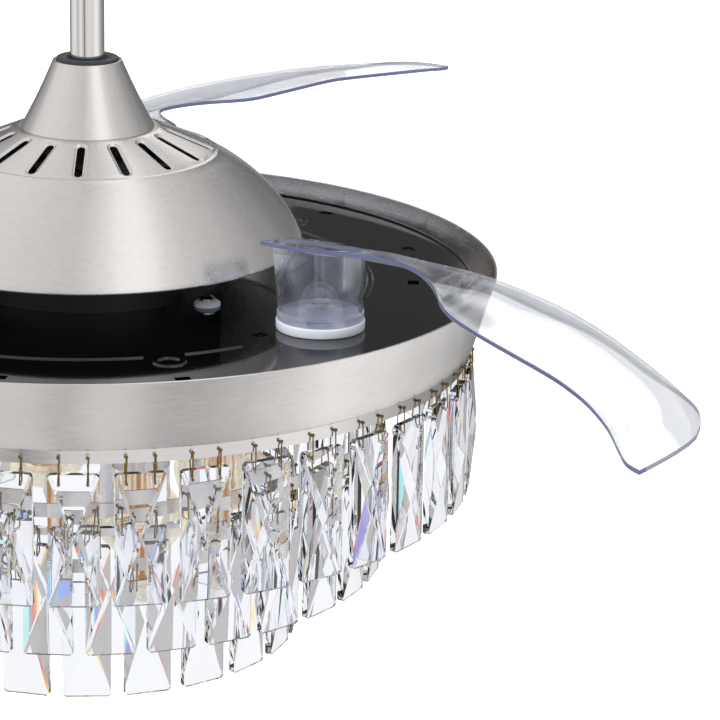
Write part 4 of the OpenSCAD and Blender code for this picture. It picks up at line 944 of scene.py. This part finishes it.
# %% Which ring a normal sees
FLAT_LEVEL = 0.12                    # what a level mirror, such as the tray, shows
side = add(tree, "ShaderNodeMapRange", {"Value": nz, "From Min": -0.2, "From Max": -0.05},
           interpolation_type="SMOOTHSTEP")
sides = add(tree, "ShaderNodeMixRGB", {0: side, 1: rings["lower"], 2: rings["upper"]})
steep = add(tree, "ShaderNodeMath", {0: nz}, operation="ABSOLUTE")
upright = add(tree, "ShaderNodeMapRange", {"Value": steep, "From Min": 0.17, "From Max": 0.12})
walls = add(tree, "ShaderNodeMixRGB", {0: upright, 1: sides, 2: rings["upright"]})
level_spot = add(tree, "ShaderNodeMapRange", {"Value": nz, "From Min": 0.95,
                                              "From Max": 0.985},
                 interpolation_type="SMOOTHSTEP")
cards = add(tree, "ShaderNodeMixRGB", {0: level_spot, 1: walls,
                                       2: (FLAT_LEVEL / TOP_LEVEL,) * 3 + (1,)})
print("rings joined at", len(tree.nodes), "nodes")

# %% [markdown]
# ## A soft box over the near blade
# One long soft box hangs where the near blade mirrors it, and gives the sheet its white half.
# It is bounded by how far a normal leans to each side. It leaves out the level spot in the
# middle, so that the tray stays black.

# %% The soft box
# each side of the box: the way it faces, and how far a normal may lean that way
BOX_SIDES = (((1, 0, 0), 0.28), ((-1, 0, 0), 0.12), ((0.2, 1, 0), 0.032), ((0, -1, 0), 0.2))
BOX_HIGH, BOX_SOFT = 0.88, 0.012     # normals that rise less miss it; how soft its edges are
lean_x = add(tree, "ShaderNodeMath", {0: nx, 1: nz}, operation="DIVIDE")
lean_y = add(tree, "ShaderNodeMath", {0: ny, 1: nz}, operation="DIVIDE")
lean = add(tree, "ShaderNodeCombineXYZ", {0: lean_x, 1: lean_y})
box = add(tree, "ShaderNodeMath", {0: nz, 1: BOX_HIGH}, operation="GREATER_THAN")
for outwards, reach in BOX_SIDES:
    leant = add(tree, "ShaderNodeVectorMath", {0: lean, 1: outwards},
                operation="DOT_PRODUCT").outputs["Value"]
    edge = add(tree, "ShaderNodeMapRange", {"Value": leant, "From Min": reach + BOX_SOFT,
                                            "From Max": reach},
               interpolation_type="SMOOTHSTEP")
    box = add(tree, "ShaderNodeMath", {0: box, 1: edge}, operation="MULTIPLY")
off_level = add(tree, "ShaderNodeVectorMath", {0: lean}, operation="LENGTH").outputs["Value"]
clear_of = add(tree, "ShaderNodeMapRange", {"Value": off_level, "From Min": 0.055,
                                            "From Max": 0.075})
box = add(tree, "ShaderNodeMath", {0: box, 1: clear_of}, operation="MULTIPLY")
lit = add(tree, "ShaderNodeMixRGB", {0: 1.0, 1: cards, 2: box}, blend_type="ADD")
room = add(tree, "ShaderNodeBackground", {"Color": lit, "Strength": TOP_LEVEL})
print("soft box with", len(BOX_SIDES), "sides")

# %% [markdown]
# ## What clear pieces look out on
# Light that was bent by a crystal sees white panels every 45 degrees, with grey gaps between
# and a grey ceiling. That gives each facet its own grey. Where a panel ends, cut glass would
# split its edge into a spectrum: so a narrow spectrum is painted along each panel's sides,
# which costs no noise. The camera itself sees plain white.

# %% Panels with a spectrum at their sides
STEP = 45                            # degrees from one panel to the next
PANEL = math.radians(STEP)
HALF_PANEL, STRIP_WIDE = 13.6, 0.6   # degrees
x, y, z = add(tree, "ShaderNodeSeparateXYZ", {0: way}).outputs
bearing = add(tree, "ShaderNodeMath", {0: y, 1: x}, operation="ARCTAN2")
turned = add(tree, "ShaderNodeMath", {0: bearing, 1: PANEL / 2 - CAMERA_WAY}, operation="ADD")
in_step = add(tree, "ShaderNodeMath", {0: turned, 1: PANEL}, operation="FLOORED_MODULO")
across = add(tree, "ShaderNodeMath", {0: in_step, 1: PANEL}, operation="DIVIDE")
GREY, WHITE = srgb("#BDBBB8"), srgb("#FCFDFF")
WARM = [WHITE, srgb("#FFEE9C"), srgb("#FFB868"), srgb("#F2806A"), srgb("#C79AA4"), GREY]
COLD = [WHITE, srgb("#B0F2EA"), srgb("#86BEFF"), srgb("#948CEC"), srgb("#B0ACC4"), GREY]
strips = [(HALF_PANEL + k * STRIP_WIDE) / STEP for k in range(len(WARM))]
steps = [(0.0, GREY)] + [(0.5 - off, colour) for off, colour in zip(strips, COLD)][::-1]
steps += [(0.5 + off, colour) for off, colour in zip(strips, WARM)] + [(1.0, GREY)]
panels = add(tree, "ShaderNodeValToRGB", {"Fac": across})
set_steps(panels.color_ramp, steps, "LINEAR")
ceiling = add(tree, "ShaderNodeMapRange", {"Value": z, "From Min": 0.16, "From Max": 0.2})
overhead = add(tree, "ShaderNodeMapRange", {"Value": z, "From Min": 0.4, "From Max": 0.55})
above = add(tree, "ShaderNodeMixRGB", {0: overhead, 1: GREY, 2: srgb("#E4E5E8")})
view = add(tree, "ShaderNodeMixRGB", {0: ceiling, 1: panels, 2: above})
beyond = add(tree, "ShaderNodeBackground", {"Color": view, "Strength": 1.0})
white = add(tree, "ShaderNodeBackground", {"Color": (1, 1, 1, 1), "Strength": 1.0})
rays = add(tree, "ShaderNodeLightPath")
bent = add(tree, "ShaderNodeMixShader", {0: rays.outputs["Is Transmission Ray"], 1: room,
                                         2: beyond})
seen = add(tree, "ShaderNodeMixShader", {0: rays.outputs["Is Camera Ray"], 1: bent, 2: white})
add(tree, "ShaderNodeOutputWorld", {"Surface": seen})
print("panels:", 360 // STEP, "with", 2 * len(WARM), "steps of colour each")

# %% [markdown]
# ## Lamps
# Three big soft lamps light the matt pieces. Mirrors and clear pieces don't see them, because
# the cards already make every reflection.

# %% Soft lamps
def soft_box(name, place, width, height, watts):
    light = bpy.data.lights.new(name, "AREA")
    light.shape, light.size, light.size_y, light.energy = "RECTANGLE", width, height, watts
    obj = bpy.data.objects.new(name, light)
    bpy.context.scene.collection.objects.link(obj)
    obj.location = place
    aim = Vector((0, 0, RIM_Z)) - Vector(place)
    obj.rotation_euler = aim.to_track_quat("-Z", "Y").to_euler()
    obj.visible_camera = obj.visible_glossy = obj.visible_transmission = False
    return obj


soft_box("key_left", (-1.6, -1.5, 0.9), 1.2, 1.2, 30)
soft_box("fill_right", (1.9, -0.9, 0.3), 0.8, 1.4, 18)
soft_box("top", (0.2, 0.2, 1.5), 1.4, 1.4, 14)
print("lamps:", [light.name for light in bpy.data.lights])

# %% [markdown]
# ## Floor
# A pale floor far below keeps the fan's shadow. To the camera it is as white as the
# background; mirrors and clear pieces look past it at the cards, and so does a camera that
# looks up from under it.

# %% Floor
FLOOR_DOWN, CAMERA_GLOW = 2.4, 0.75  # metres under the ceiling; light added for the camera
bm = bmesh.new()
bmesh.ops.create_grid(bm, x_segments=1, y_segments=1, size=14.0,
                      matrix=Matrix.Translation((0, 0, -FLOOR_DOWN)))
mesh = bpy.data.meshes.new("studio_floor")
bm.to_mesh(mesh)
bm.free()
floor = bpy.data.objects.new("studio_floor", mesh)
bpy.context.scene.collection.objects.link(floor)
# Matt white paint on board: no shine, only the shadow.
pale, tree, spot = new_material("paint_matt_white_rolled")
rays = add(tree, "ShaderNodeLightPath")
glow = add(tree, "ShaderNodeMath", {0: rays.outputs["Is Camera Ray"], 1: CAMERA_GLOW},
           operation="MULTIPLY")
shader = add(tree, "ShaderNodeBsdfPrincipled", {
    "Base Color": srgb("#F4F4F2"), "Roughness": 0.7, "Emission Color": (1, 1, 1, 1),
    "Emission Strength": glow})
past = add(tree, "ShaderNodeMath", {0: rays.outputs["Is Glossy Ray"],
                                    1: rays.outputs["Is Transmission Ray"]},
           operation="MAXIMUM")
under = add(tree, "ShaderNodeNewGeometry").outputs["Backfacing"]
past = add(tree, "ShaderNodeMath", {0: past, 1: under}, operation="MAXIMUM")
through = add(tree, "ShaderNodeBsdfTransparent")
seen = add(tree, "ShaderNodeMixShader", {0: past, 1: shader, 2: through})
add(tree, "ShaderNodeOutputMaterial", {"Surface": seen})
paint(floor, pale)
print("floor", FLOOR_DOWN, "m below the ceiling")

# %% [markdown]
# ## Camera
# The photograph was taken from in front, a little from the left and above the tray's level,
# with a long lens. The camera's place and turn were found by laying circles over the tray's
# rim and the band's lower edge in the picture.

# %% Camera
camera = bpy.data.cameras.new("camera")
camera.lens, camera.sensor_width = 162.8, 36.0
camera.clip_start, camera.clip_end = 0.05, 100.0
eye = bpy.data.objects.new("camera", camera)
bpy.context.scene.collection.objects.link(eye)
yaw, pitch, roll = (math.radians(v) for v in (YAW, PITCH, ROLL_LEFT))
swing = Matrix.Rotation(yaw, 3, "Z")
ahead = swing @ Vector((0, math.cos(pitch), -math.sin(pitch)))
right = swing @ Vector((1, 0, 0))
below = ahead.cross(right)
rolled_right = right * math.cos(roll) + below * math.sin(roll)
rolled_below = below * math.cos(roll) - right * math.sin(roll)
turn = Matrix((rolled_right, -rolled_below, -ahead)).transposed().to_4x4()
eye.matrix_world = Matrix.Translation((0, -1.9582, 0.5427 + RIM_Z)) @ turn
bpy.context.scene.camera = eye
bpy.context.scene.view_settings.view_transform = "Standard"
print("camera at", [round(v, 3) for v in eye.location])

# %% [markdown]
# ## Finish
# The dressed model keeps the CAD's box.

# %% Finish
bpy.context.view_layer.update()
